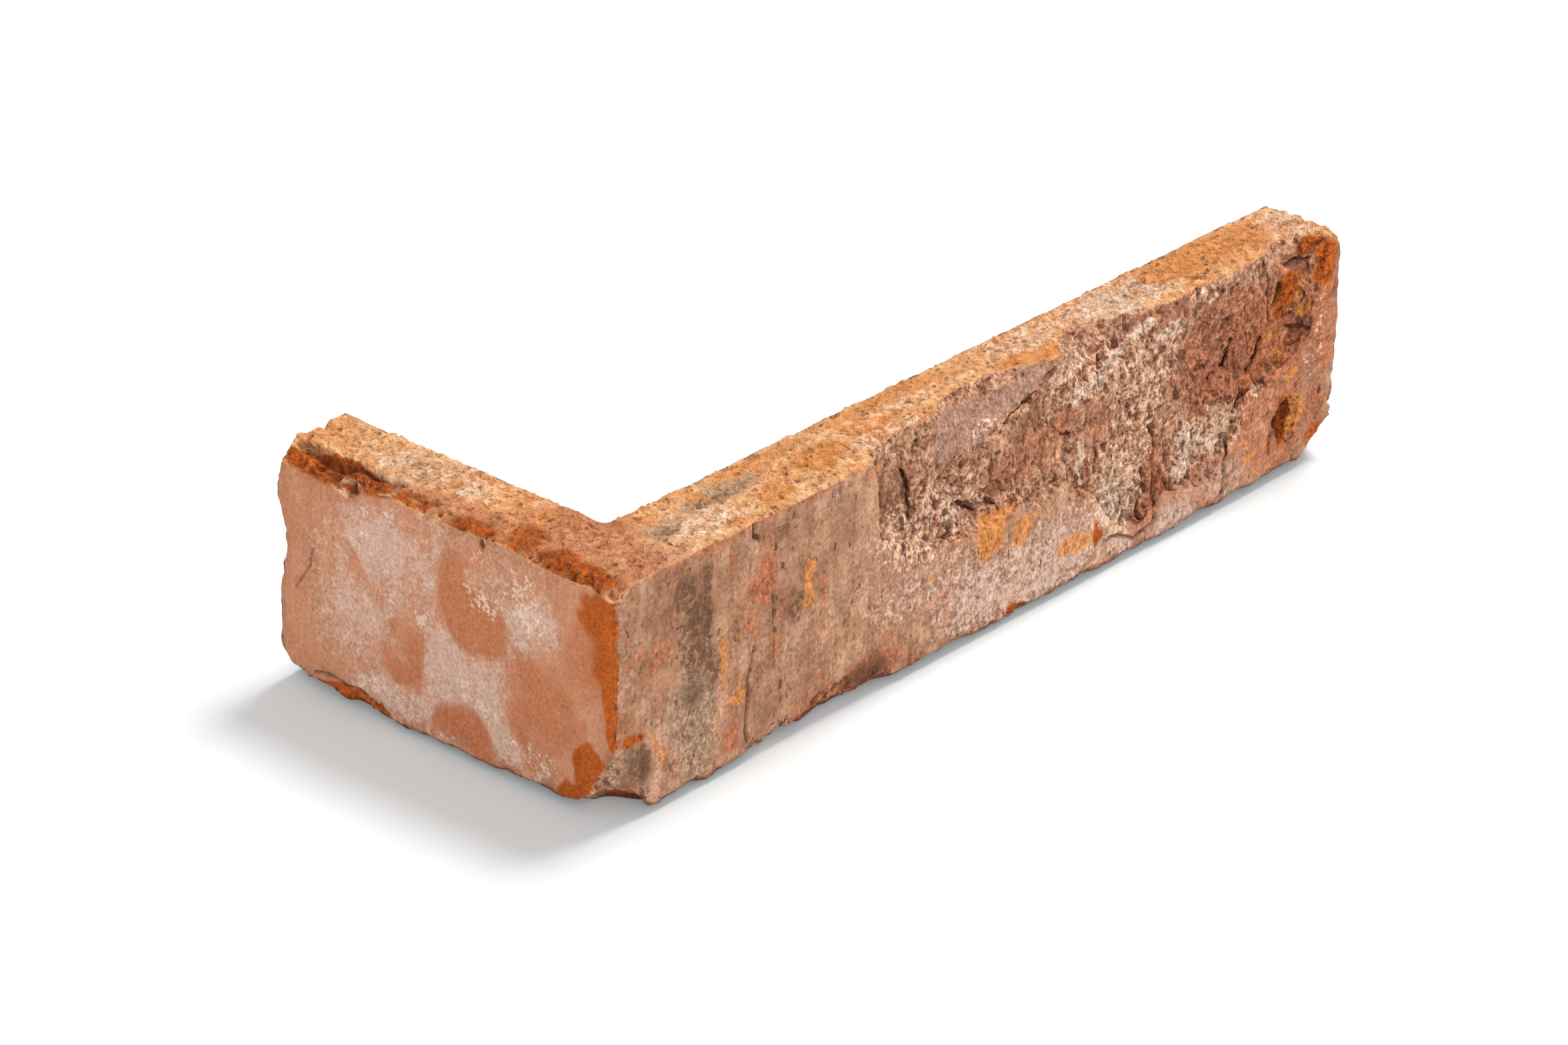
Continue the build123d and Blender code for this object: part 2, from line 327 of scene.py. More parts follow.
HEADER_PATCHES: Patches = {
    Stain.WASH: (
        Patch(58, 33, 54, 36, strength=0.6, soft=0.9),
        Patch(50, 26, 18, 12, soft=1.2),
        Patch(80, 50, 20, 11, strength=0.9, soft=1.3),
        Patch(28, 46, 11, 9, soft=1.2),
        Patch(40, 15, 22, 6, turn=35, soft=1.2),
        Patch(72, 9, 20, 7, strength=0.85, soft=1.3),
        Patch(88, 30, 13, 14, strength=0.75, soft=1.4),
        Patch(57, 5, 6, 3.4),
    ),
    Stain.ORANGE: (
        Patch(48, 41, 11.5, 9.5, soft=0.2),
        Patch(56, 47, 4, 8.5, soft=0.2, boxy=5),
        Patch(68, 23, 2.8, 8.5, soft=0.8),
        Patch(73, 17, 6.5, 3, soft=0.7),
        Patch(78.5, 20, 3.6, 3.4, turn=-20, strength=0.7),
        Patch(72, 28, 4, 7, strength=0.55, soft=1.2),
        Patch(76.3, 30, 1.9, 2),
        Patch(54, 11, 8.5, 3.6, turn=-8, soft=0.7),
        Patch(45.5, 7, 4, 7.5, turn=-10, soft=0.7),
        Patch(61, 8, 3, 2.6, strength=0.8),
        Patch(23, 27, 14, 15, strength=0.8, soft=1.2),
        Patch(13, 42, 8, 14, strength=0.6, soft=1.4),
        Patch(33, 17, 2.6, 8, turn=-18, strength=0.75, soft=1),
        Patch(88, 42, 9, 2.6, turn=45, strength=0.55, soft=1.2),
        Patch(112, 30, 6, 30, strength=0.4, soft=1.4),
        Patch(50, 57, 7, 2, turn=-15, strength=0.75, soft=1),
        Patch(28, 7.5, 4, 1.8, turn=-45, strength=0.8),
        Patch(7, 50, 8, 15, soft=0.7),
    ),
    Stain.RED: (
        Patch(52, 9, 10, 7, soft=0.9),
    ),
    Stain.FRESH: (
        Patch(0.8, 42, 3.4, 24, soft=0.6),
        Patch(6, 57.5, 8.5, 6, strength=0.9, soft=0.9),
        Patch(6, 47, 5, 10, strength=0.6, soft=1),
        Patch(8, 12, 5.2, 9, turn=-12, soft=0.4),
        Patch(11, 4, 8.5, 5.4, soft=0.4),
        Patch(91, 3, 15, 4, soft=0.5),
        Patch(99, 67, 26, 5, strength=0.7, soft=0.7),
        Patch(66, 66.8, 30, 1.4, strength=0.5, soft=0.9),
    ),
    Stain.BROWN: (
        Patch(2, 14, 4.5, 8, soft=0.5),
    ),
    Stain.SOOT: (
        Patch(1, 16, 3, 6, strength=0.6),
        Patch(3, 3, 8, 3, strength=0.6),
    ),
    Stain.YELLOW: (
        Patch(5.4, 46, 0.8, 11, turn=2),
        Patch(2.4, 40, 1.6, 18, strength=0.75),
    ),
    Stain.LIME: (
        Patch(78, 38, 3.4, 2.2, strength=0.95),
        Patch(67, 36, 3.2, 3, strength=0.95),
        Patch(87, 54, 5, 10, strength=0.5, soft=1.2),
        Patch(30, 49, 9, 4.4, turn=40, strength=0.75, soft=1),
        Patch(44, 47, 7, 4, strength=0.6, soft=1),
        Patch(31, 57, 6, 4, strength=0.6, soft=1.2),
        Patch(47, 49.5, 8, 2.2, strength=0.6),
        Patch(49, 20, 8, 3.4, turn=25, strength=0.7, soft=1),
        Patch(38, 14.5, 5, 2.4, turn=20, strength=0.65, soft=1),
        Patch(26, 9, 9, 7, strength=0.5, soft=1.2),
        Patch(57, 4, 2.4, 2.2, strength=0.9),
        Patch(78, 9, 16, 6, strength=0.5, soft=1.2),
        Patch(75, 59, 15, 5, strength=0.4, soft=1.2),
        Patch(55, 4.6, 7, 3, strength=0.5),
        Patch(46, 60.5, 6, 1.8, turn=-40, strength=0.65),
    ),
}
STRETCHER_PATCHES: Patches = {
    Stain.BROWN: (
        Patch(24, 51, 18, 18, strength=0.7, soft=0.9),
        Patch(62, 49, 9, 24, strength=0.6, soft=0.9),
        Patch(55, 13, 22, 8, strength=0.5, soft=0.9),
        Patch(3, 14, 10, 8, soft=0.6),
        Patch(94, 7, 11, 5.4, soft=0.6),
        Patch(84, 48, 12, 12, strength=0.5, soft=1.2),
        Patch(14, 30, 6, 10, strength=0.5, soft=1.2),
        Patch(137, 41.5, 10, 3, turn=-10, strength=0.9),
        Patch(104, 55, 6, 10, strength=0.7),
        Patch(158, 57, 8, 3, turn=20, strength=0.7),
        Patch(240, 45, 14, 8, strength=0.5, soft=1),
    ),
    Stain.LICHEN: (
        Patch(27, 23, 9, 13, strength=0.9),
        Patch(30, 8, 8, 6, strength=0.8),
        Patch(1, 17, 6, 5, strength=0.8, soft=0.9),
    ),
    Stain.SMOOTH: (
        Patch(2, 10, 11, 9, soft=0.5),
        Patch(134, 64.5, 14, 7.2, soft=0.35),
        Patch(151, 67.6, 15, 4.4, turn=9, soft=0.35),
        Patch(124, 64, 6, 8.5, soft=0.4),
    ),
    Stain.SOOT: (
        Patch(6, 14, 6, 6, strength=0.56, soft=1),
        Patch(25, 57, 5, 5, strength=0.55, soft=0.9),
        Patch(29, 44, 8, 12, strength=0.45, soft=1),
        Patch(25.5, 48.5, 4, 6, strength=0.64, soft=0.7),
        Patch(32.5, 46, 3.2, 4.5, strength=0.64, soft=0.7),
        Patch(33, 60, 1.8, 8, strength=0.57),
        Patch(30, 37, 8.5, 4.5, turn=-12, strength=0.62, soft=0.7),
        Patch(35.5, 32, 2.8, 7, strength=0.67, soft=0.7),
        Patch(27, 28, 5, 5, strength=0.56, soft=0.9),
        Patch(7, 55, 1, 4, turn=-15, strength=0.56, soft=0.7),
        Patch(8, 17, 5, 4, strength=0.56),
        Patch(58.2, 38, 1.1, 6.5, strength=0.65, soft=0.7),
        Patch(53.5, 38, 1.6, 6, strength=0.5, soft=0.9),
        Patch(62, 61, 4, 3, strength=0.55, soft=0.9),
        Patch(66, 37, 3, 7, strength=0.48, soft=0.9),
        Patch(94, 7, 9, 4.5, strength=0.56, soft=0.9),
        # Painted shade: these soot patches darken the shaded walls of the pits at the right end.
        Patch(263.6, 58, 1.6, 3.6, strength=0.62),
        Patch(271, 65.4, 4.4, 2.6, strength=0.5),
        Patch(274, 44, 5.6, 3.4, strength=0.48),
        Patch(265, 17, 1.5, 5, strength=0.45),
    ),
    Stain.ORANGE: (
        Patch(9, 46.5, 2, 3.2, strength=0.8, soft=0.7),
        Patch(16, 41, 7, 7, strength=0.5, soft=0.9),
        Patch(41.5, 8, 4.5, 4.2, soft=0.7),
        Patch(53, 49.5, 5, 7, strength=0.6, soft=0.7),
        Patch(50, 38, 3.6, 5.5, strength=0.9, soft=0.7),
        Patch(55.8, 48, 0.9, 7, soft=0.7),
        Patch(58.5, 29, 1, 7, soft=0.7),
        Patch(76.5, 33, 1, 10, strength=0.9, soft=0.7),
        Patch(84, 19, 5, 4, strength=0.5, soft=0.9),
        Patch(40, 66.5, 22, 2.4, strength=0.8, soft=1),
        Patch(92, 65, 8, 4, strength=0.6, soft=1),
        Patch(122, 17, 14, 5, strength=0.45, soft=0.9),
        Patch(102, 15, 8, 5, strength=0.5, soft=0.9),
        Patch(171, 8, 6, 2.4, strength=0.5),
        Patch(232, 7, 4, 5, strength=0.7, soft=0.7),
        Patch(236, 3, 6, 2, strength=0.8, soft=0.7),
        Patch(213, 10, 9, 1.6, strength=0.6),
        Patch(262, 28, 15, 30, soft=0.9),
        Patch(285, 42, 6, 18, soft=0.9),
        Patch(236, 12, 18, 9, strength=0.55, soft=1),
    ),
    Stain.YELLOW: (
        Patch(39.2, 33, 1.8, 11, strength=0.75, soft=0.7),
        Patch(44, 20.5, 4, 3.2, soft=0.7),
        Patch(37, 16, 4, 2.4, strength=0.6),
        Patch(71, 45, 2.6, 6, strength=0.9, soft=0.7),
        Patch(71, 36.5, 3.4, 3, soft=0.7),
        Patch(15.5, 17, 1.4, 5, turn=15, strength=0.9, soft=0.7),
        Patch(143.2, 30, 6, 5.6, turn=-6, soft=0.25, boxy=5),
        Patch(141, 25, 4, 3.4, strength=0.7),
        Patch(154.8, 26.4, 3.6, 4.6, turn=-10, soft=0.25, boxy=5),
        Patch(150.8, 34, 1.8, 2.8, soft=0.4),
        Patch(161, 28, 3, 1.6, strength=0.7, soft=0.7),
        Patch(178, 13.5, 9, 4, strength=0.85, soft=0.7),
        Patch(120, 25, 3, 2.2, strength=0.7, soft=0.7),
        Patch(146, 8.5, 6, 1.8, strength=0.55),
        Patch(252, 12, 4, 3, strength=0.7, soft=0.8),
        Patch(259.8, 47.4, 1.0, 3.4, turn=-15, soft=0.6),
        Patch(263.5, 38.8, 1.6, 2.2, turn=30, soft=0.6),
        Patch(263.6, 31, 1.4, 1.3, soft=0.6),
        Patch(269.5, 31, 3.4, 1.5, turn=15, soft=0.6),
        Patch(251.8, 18, 0.8, 7, soft=0.6),
        Patch(254.5, 25, 2.6, 2.2, strength=0.8),
        # Painted light: these yellow patches brighten the lit walls of the pits at the right end.
        Patch(271, 57, 3.6, 5, soft=0.7),
        Patch(272, 18, 3.8, 5.4, soft=0.7),
        Patch(275, 49.5, 3.4, 2.8, soft=0.6),
        Patch(268.5, 56, 2, 3, strength=0.8),
    ),
    Stain.RED: (
        Patch(53, 49, 6, 8, strength=0.9, soft=1),
        Patch(78, 6, 14, 4, strength=0.9, soft=0.7),
        Patch(96, 7, 11, 6, soft=0.5),
        Patch(240, 47, 22, 18, soft=0.7),
        Patch(208, 17, 7, 16, strength=0.9),
        Patch(160, 49, 26, 8, turn=14, strength=0.55),
        Patch(268, 53, 11, 18, strength=0.9, soft=0.7),
        Patch(184, 45, 10, 8, strength=0.5, soft=0.9),
        Patch(212, 69, 14, 4, strength=0.6),
        Patch(274, 44.5, 8, 7, soft=0.7),
        Patch(281, 17.5, 4.6, 6.5, soft=0.7),
    ),
    Stain.FRESH: (
        Patch(-1, 43, 2, 24, soft=0.5),
        Patch(4, 23.6, 7, 1.6, turn=-6, soft=0.5),
        Patch(70, 66.5, 16, 1.8, strength=0.5, soft=1),
        Patch(187, 13.5, 2.4, 4.8, soft=0.5),
        Patch(153, 3.8, 5, 1.6, soft=0.5),
        Patch(266, 57, 4.4, 7, soft=0.6, boxy=2.6),
        Patch(267, 17.3, 3.6, 7, soft=0.5, boxy=2.6),
        Patch(283, 9, 5, 2.8, soft=0.5),
        Patch(284, 60, 6, 7, strength=0.7, soft=0.9),
        Patch(279, 69, 9, 3, strength=0.9, soft=0.7),
    ),
    Stain.WASH: (
        Patch(160, 13, 40, 12, strength=0.8, soft=0.9),
        Patch(168, 8, 20, 6, strength=0.9),
        Patch(216, 6, 28, 5, strength=0.8),
        Patch(118, 23, 26, 9, strength=0.5, soft=0.9),
        Patch(256, 23, 9, 12, strength=0.5, soft=0.9),
        Patch(236, 9, 16, 7, strength=0.8, soft=1),
    ),
    Stain.SAND: (
        Patch(118, 43, 24, 12, strength=0.6, soft=0.9),
        Patch(178, 63, 16, 9, strength=0.5),
        Patch(205, 51, 14, 18, strength=0.6, soft=0.9),
        Patch(195, 22, 11, 13),
        Patch(235, 25, 16, 8),
    ),
    Stain.LIME: (
        Patch(137, 61, 8, 2.6, turn=12, strength=0.5, soft=1.2),
        Patch(179, 38, 2.2, 6.5, soft=0.5),
        Patch(193, 63.4, 7, 2.8, turn=15, soft=0.6),
        Patch(204, 66.5, 7, 2.4, turn=10, strength=0.9),
        Patch(186.8, 60, 3.6, 4.2, soft=0.6),
        Patch(180, 58, 5, 2.2, strength=0.9, soft=0.7),
        Patch(175, 57, 3, 3, strength=0.8),
        Patch(165, 54, 6, 2, turn=25, strength=0.6, soft=1),
        Patch(178, 68, 6, 4, strength=0.6),
        Patch(217, 62.4, 8, 2.4, turn=5, strength=0.9, soft=0.7),
        Patch(189, 21, 4.4, 8, soft=0.7),
        Patch(196, 22, 6, 7, strength=0.75, soft=1),
        Patch(203, 31, 9, 5, strength=0.55, soft=1),
        Patch(226, 27, 10, 4.5, turn=-12, strength=0.85, soft=0.9),
        Patch(222, 20, 4.5, 5.5, strength=0.95, soft=0.7),
        Patch(235, 24, 7, 3, strength=0.7),
        Patch(116, 45, 12, 5, turn=-25, strength=0.5, soft=0.9),
        Patch(255, 31, 7, 2.6, strength=0.6),
        Patch(277.5, 30, 1.6, 6, strength=0.8, soft=0.7),
        Patch(233, 68, 6, 3, strength=0.6),
        Patch(282, 40, 2.4, 14, strength=0.6, soft=1.2),
    ),
}
BED_PATCHES: Patches = {
    Stain.SAND: (
        Patch(15, 76, 9, 24, strength=0.55, soft=1),
        Patch(214, 18, 24, 8),
        Patch(178, 19, 20, 6, strength=0.7, soft=1),
        Patch(42, 9, 15, 7, strength=0.8, soft=1),
        Patch(110, 8, 18, 5, strength=0.7, soft=1),
        Patch(128, 18, 14, 4, strength=0.6, soft=1),
        Patch(282, 14, 8, 12, strength=0.7, soft=1),
    ),
    Stain.WASH: (
        Patch(212, 16, 20, 7, strength=0.7, soft=1.2),
    ),
    Stain.LIME: (
        Patch(212, 16, 18, 7, strength=0.75, soft=1.2),
    ),
    Stain.LICHEN: (
        Patch(15, 78, 8, 20, strength=0.5, soft=1),
        Patch(32, 13, 9, 5, strength=0.7, soft=1),
        Patch(56, 17, 16, 4.5, strength=0.75, soft=1),
        Patch(22, 4, 9, 4, strength=0.6, soft=1),
    ),
    Stain.SOOT: (
        Patch(31, 12, 5, 2.5, strength=0.45, soft=1),
        Patch(52, 16, 9, 2.2, strength=0.45, soft=1),
    ),
    Stain.YELLOW: (
        Patch(88, 12, 12, 6, strength=0.8, soft=1),
        Patch(66, 6, 7, 4, strength=0.75, soft=1),
        Patch(50, 20.5, 3.4, 2, strength=0.9),
        Patch(218, 15, 3.2, 2),
        Patch(16, 40, 9, 2.4, strength=0.6, soft=1),
        Patch(262, 16, 22, 8, strength=0.6, soft=1),
        Patch(250, 19, 30, 8, strength=0.8, soft=1),
        Patch(168, 10, 22, 6, strength=0.65, soft=1.2),
        Patch(130, 22, 40, 4, strength=0.6, soft=1),
        Patch(76, 22, 24, 4, strength=0.6, soft=1),
    ),
    Stain.ORANGE: (
        Patch(14, 28, 16, 18, soft=1),
        Patch(11, 8, 13, 11, soft=1),
        Patch(5, 56, 6, 26, strength=0.8, soft=1),
    ),
    Stain.FRESH: (
        Patch(3, 97, 4.4, 20, strength=0.95, soft=0.5),
        Patch(3, 16, 5, 14, strength=0.7, soft=1),
        Patch(6, 35, 7, 6, strength=0.6, soft=1),
        Patch(2, 50, 3.4, 10, strength=0.6, soft=1),
        Patch(3, 71, 3.6, 7, strength=0.6, soft=1),
    ),
}
BED_STROKES: Strokes = {
    Mark.GOUGE: (
        Stroke(((6.4, 115), (6, 108), (4.8, 100), (5.8, 93), (6, 88), (5, 83), (6.4, 78)), 2.2, 2.4),
        Stroke(((3.2, 104), (2.4, 98), (3.4, 92)), 1.4, 1.4),
        Stroke(((3.6, 74), (3, 69), (4, 64)), 1.6, 1.2),
        Stroke(((238, 12), (243, 11), (247, 11.6)), 1.2, 1.0),
        Stroke(((222, 20), (228, 19.4)), 1.4, 1.0),
    ),
}
HEADER_STROKES: Strokes = {
    Mark.CRACK: (
        Stroke(((104.5, 42), (105.5, 37), (108.5, 32.5), (111.5, 28.5)), 0.4, 0.4),
        Stroke(((105, 6), (99, 7.4), (95, 6.4), (89, 7), (84, 5.6), (78, 3.6)), 0.55, 0.9),
    ),
    Mark.GOUGE: (
        Stroke(((46, 65), (45.5, 63)), 1.6, 1.6),
    ),
}
STRETCHER_STROKES: Strokes = {
    Mark.CRACK: (
        Stroke(((51.5, 32), (50, 28), (48.7, 23), (48.5, 17), (48, 11), (48.2, 6)), 0.9, 1.4),
        Stroke(((241, 1), (242.3, 7.7), (242.8, 12.7)), 1.3, 2.6),
        Stroke(((242.8, 12.7), (242.4, 16), (241.4, 21)), 0.9, 1.6),
        Stroke(((242.3, 7.7), (245, 9.2), (247.4, 10)), 0.8, 1.2),
        Stroke(((190, 9.2), (197, 8.8), (203.4, 5.5), (207.6, 6.3), (213, 7.6)), 0.7, 1.2),
        Stroke(((261.9, 14.8), (262.3, 9.5)), 0.8, 1.2),
    ),
    Mark.CREASE: (
        Stroke(((11.5, 61), (11, 46), (13, 31), (16, 15)), 1.4, 0.35),
        Stroke(((32, 63), (33, 41), (31, 27)), 1.8, 0.3),
        Stroke(((37, 61), (37, 46), (37.5, 25)), 1.6, 0.45),
        Stroke(((42, 61), (43, 43), (42, 27)), 1.4, 0.35),
        Stroke(((57, 53), (58, 41), (58.5, 23)), 1.4, 0.5),
        Stroke(((75, 43), (76, 23)), 1.2, 0.3),
    ),
    Mark.GOUGE: (
        Stroke(((51, 66), (50, 63), (52, 61.5)), 1.1, 1.4),
        Stroke(((99.2, 66), (98.7, 59), (99.5, 52)), 1.0, 2.4),
        Stroke(((105.6, 62), (108.7, 53.7), (109, 46)), 1.0, 2.4),
        Stroke(((124, 52.4), (125, 51)), 1.0, 2.0),
        Stroke(((127.5, 42.6), (131, 41.5), (135.6, 39)), 1.1, 2.2),
        Stroke(((140.5, 40), (143, 38), (145, 36)), 1.0, 2.0),
        Stroke(((146.5, 59.5), (149, 61.2), (154, 62.4), (161, 64.6), (166, 68)), 0.8, 1.2),
        Stroke(((105, 39), (104, 36)), 0.9, 1.4),
        Stroke(((155, 49.5), (156, 46)), 1.0, 1.6),
        Stroke(((171, 48.5), (174, 46)), 0.9, 1.4),
        Stroke(((196, 50.6), (196.2, 47)), 0.8, 1.6),
        Stroke(((206, 25), (205.6, 19), (205, 11)), 0.9, 1.4),
        Stroke(((196.6, 20.4), (197.4, 18)), 0.8, 1.4),
        Stroke(((210.4, 37), (211.6, 31), (211, 25), (212, 18), (211.8, 9)), 1.1, 2.4),
        Stroke(((238.7, 67.4), (238.6, 64.7)), 0.9, 2.0),
        Stroke(((240, 44), (241.3, 47.8), (243, 51)), 1.0, 2.6),
        Stroke(((234.4, 42), (235.8, 43)), 1.0, 2.0),
        Stroke(((251.5, 38), (252.9, 41), (255.8, 45.6)), 1.0, 2.6),
        Stroke(((244.6, 29), (246.8, 33.4)), 0.8, 1.8),
        Stroke(((257.5, 68), (259.9, 57), (259.6, 50.5)), 1.0, 1.8),
        Stroke(((268, 65), (272, 66.5), (276, 64)), 1.0, 1.4),
        Stroke(((263.6, 61), (263.4, 56)), 1.4, 1.8),
        Stroke(((268, 46.5), (272, 44), (277, 42.5)), 0.9, 1.3),
        Stroke(((264.6, 21), (264.8, 14)), 0.8, 1.0),
    ),
}


@dataclass
class Zones:
    """Where each point of the clay lies, before it is roughened.

    Attributes:
        header: How much it lies on the header face, 0 to 1.
        stretcher: How much it lies on the stretcher face or in its scar.
        bed: How much it lies on the upper bed.
        sawn: How much it lies on the sawn backs.
        foot: How much it lies on the lower bed.
        ends: How much it lies on the ends of the two legs.
        broken: How much it lies where clay has come off, away from every original face.
    """

    header: Array
    stretcher: Array
    bed: Array
    sawn: Array
    foot: Array
    ends: Array
    broken: Array


@dataclass
class ClayBody:
    """The slip's one piece of fired clay: its solid, roughened, worn and stained.

    Attributes:
        name: The piece's name.
        cell: Size of its mesh's facets, in millimetres.
        triangles: How many triangles it has in the end; the flattest places lose theirs first.
        seed: Which grain the clay has.
        slant: How far a place in the scar looks shifted from the photo's angle, per millimetre of depth.
        merged: Points of the solid closer than this are one, in millimetres.
        rim_stray: How far the rim of a stain strays from its patch, in millimetres.
        line_stray: How far a crack, crease or gouge strays from its line.
        scar_stray: How far the clay in and along the scar is drawn aside.
        lime_crust: How far lime stands out of the broken clay.
        foot_wear: How far the outer arrises of the foot are worn up off the floor.
        pit_depth: How deep the pits in the worn stretcher are.
        hole_depth: How deep the holes in the broken clay are.
        torn_depth: How deep the torn places of the bed are.
    """

    name: str = "weathered_clay"
    cell: float = 0.5
    triangles: int = 192_000
    seed: int = 7
    slant: tuple[float, float] = (1.144, 0.771)
    merged: float = 0.002
    rim_stray: float = 3.2
    line_stray: float = 0.8
    scar_stray: float = 2.6
    lime_crust: float = 0.8
    foot_wear: float = 2.8
    pit_depth: float = 0.6
    hole_depth: float = 1.1
    torn_depth: float = 1.1

    def __post_init__(self) -> None:
        """Takes the slip's faces from its solid."""
        low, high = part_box(NODE)
        self.low, self.high = np.array(low) / MM, np.array(high) / MM
        mounts = {mount["name"]: mount["pos_m"] for mount in frame["record"]["mounts"]}
        self.stretcher_back = mounts["stretcher_back"][1] / MM
        self.header_back = mounts["header_back"][0] / MM
        self.coarse = Grain(self.seed)
        self.fine = Grain(self.seed + 1)
        self.pitted = Grain(self.seed + 2)

    def build(self) -> bpy.types.Object:
        """Makes the piece, with its finish left to do.

        Returns:
            The piece, at the origin.
        """
        piece = self._fine_copy()
        mesh = piece.data
        web = Web(mesh)
        points, normals = self._read(mesh)
        normals = web.mean(normals, 2)
        normals /= np.linalg.norm(normals, axis=1, keepdims=True)
        zones = self._zones(points, normals)
        stains = self._stains(points, zones)
        moved = self._roughen(points, normals, zones, stains, web)
        mesh.vertices.foreach_set("co", (moved * MM).astype(np.float32).ravel())
        mesh.update()
        # How hollow the clay is, for the shade and dirt that the material paints there.
        stains["hollow"] = self._hollows(mesh, web)
        # A crease is a dent that gets no painted shade; cracks and gouges keep theirs.
        del stains[Mark.CREASE.value]
        for zone in ("header", "bed", "sawn", "ends", "broken"):
            stains[zone] = getattr(zones, zone)
        for title, values in stains.items():
            attribute = mesh.attributes.new(title, "FLOAT", "POINT")
            attribute.data.foreach_set("value", values.astype(np.float32))
        self._thin(piece, (zones.broken < 0.1) & (zones.bed < 0.5))
        piece.data.polygons.foreach_set("use_smooth", np.ones(len(piece.data.polygons), bool))
        return piece

    def _fine_copy(self) -> bpy.types.Object:
        """A copy of the solid's mesh, merged and cut into small even facets."""
        mesh = frame["nodes"][NODE].data.copy()
        mesh.materials.clear()
        merged = bmesh.new()
        merged.from_mesh(mesh)
        bmesh.ops.remove_doubles(merged, verts=merged.verts, dist=self.merged * MM)
        merged.to_mesh(mesh)
        merged.free()
        piece = bpy.data.objects.new(self.name, mesh)
        bpy.context.scene.collection.objects.link(piece)
        remesh = piece.modifiers.new("even_facets", "REMESH")
        remesh.mode = "VOXEL"
        remesh.voxel_size = self.cell * MM
        self._apply(piece)
        return piece

    @staticmethod
    def _apply(piece: bpy.types.Object) -> None:
        """Turns what the piece's modifiers make into its plain mesh."""
        graph = bpy.context.evaluated_depsgraph_get()
        made = bpy.data.meshes.new_from_object(piece.evaluated_get(graph))
        piece.modifiers.clear()
        piece.data = made

    @staticmethod
    def _read(mesh: bpy.types.Mesh) -> tuple[Array, Array]:
        """The mesh's points in millimetres, and their normals."""
        points = np.empty(len(mesh.vertices) * 3, np.float32)
        normals = np.empty(len(mesh.vertices) * 3, np.float32)
        mesh.vertices.foreach_get("co", points)
        mesh.vertex_normals.foreach_get("vector", normals)
        return points.reshape(-1, 3).astype(float) / MM, normals.reshape(-1, 3).astype(float)

    def _zones(self, points: Array, normals: Array) -> Zones:
        """Sorts the points by the faces that they lie on.

        Args:
            points: The points, in millimetres.
            normals: Their normals.

        Returns:
            Each zone's share at each point.
        """
        x, y, z = points.T
        to_back = np.where(x > self.header_back, np.abs(y - self.stretcher_back), np.inf)
        to_header_back = np.where(y > self.stretcher_back, np.abs(x - self.header_back), np.inf)
        to_back = np.minimum(to_back, to_header_back)
        to_face = np.min([x - self.low[0], y - self.low[1], z, *(self.high - points).T, to_back], axis=0)
        sawn = smooth(0.5, 0.2, to_back) * (normals[:, 1].clip(0) + normals[:, 0].clip(0) > 0.6)
        bed = smooth(0.45, 0.75, normals[:, 2]) * smooth(8, 3, self.high[2] - z)
        foot = smooth(0.5, 0.8, -normals[:, 2]) * smooth(1.0, 0.2, z)
        to_end = (self.high - points)[:, :2]
        ends = np.max(smooth(0.9, 0.3, to_end) * smooth(0.5, 0.8, normals[:, :2]), axis=1)
        side = (1 - bed) * (1 - foot) * (1 - sawn) * (1 - ends)
        # The small number keeps the share from a division by zero.
        towards = np.maximum(-normals[:, :2], 0) + 1e-6
        header = smooth(0.35, 0.65, towards[:, 0] / towards.sum(1)) * (x < self.header_back) * side
        return Zones(header, side - header, bed, sawn, foot, ends, smooth(0.3, 0.9, to_face))

    def places(self, face: Face, points: Array) -> tuple[Array, Array]:
        """Where points lie on a face.

        Args:
            face: The face.
            points: The points, in millimetres.

        Returns:
            How far along and up the face each point is. On the stretcher this is where the point
            looks to be on the face's plane from the photo's angle.
        """
        x, y, z = (points - (self.low[0], self.low[1], 0)).T
        if face is Face.HEADER:
            return y, z
        if face is Face.BED:
            return x, y
        return x - self.slant[0] * y, z + self.slant[1] * y

    def _stains(self, points: Array, zones: Zones) -> dict[str, Array]:
        """Lays every patch and stroke on its face.

        Args:
            points: The points, in millimetres.
            zones: Where they lie.

        Returns:
            Each stain's and mark's strength at each point, how deep the marks go and how dark the painted
            contact shadow at the foot is.
        """
        found = {kind.value: np.zeros(len(points)) for kind in (*Stain, *Mark)}
        found["depth"] = np.zeros(len(points))
        wander = [self.rim_stray * grain.layered(points, 14, 5, 0.62) for grain in (self.coarse, self.fine)]
        jitter = [self.line_stray * grain.layered(points, 6, 3, 0.6) for grain in (self.coarse, self.fine)]
        laid = (
            (Face.HEADER, zones.header, HEADER_PATCHES, HEADER_STROKES),
            (Face.STRETCHER, zones.stretcher, STRETCHER_PATCHES, STRETCHER_STROKES),
            (Face.BED, zones.bed, BED_PATCHES, BED_STROKES),
        )
        for face, share, patches, strokes in laid:
            on = share > 0.01
            along, up = self.places(face, points[on])
            for stain, group in patches.items():
                for patch in group:
                    reach = min(1.0, min(patch.half_along, patch.half_up) / 4)
                    cover = patch.cover(along + reach * wander[0][on], up + reach * wander[1][on])
                    self._keep(found[stain.value], on, cover * share[on])
            for mark, group in strokes.items():
                for stroke in group:
                    cover = stroke.cover(along + jitter[0][on], up + jitter[1][on]) * share[on]
                    self._keep(found[mark.value], on, cover)
                    self._keep(found["depth"], on, cover * stroke.depth)
        # Orange clay shows through the header's wash.
        found[Stain.WASH.value] *= 1 - 0.9 * zones.header * found[Stain.ORANGE.value]
        # Painted contact shadow: the foot is darkened where it meets the floor.
        found["shade"] = smooth(2.4, 0.2, points[:, 2]) * (1 - zones.sawn)
        return found

    @staticmethod
    def _keep(found: Array, on: Array, cover: Array) -> None:
        """Keeps the stronger of what was found on a face and what is laid there."""
        found[on] = np.maximum(found[on], cover)

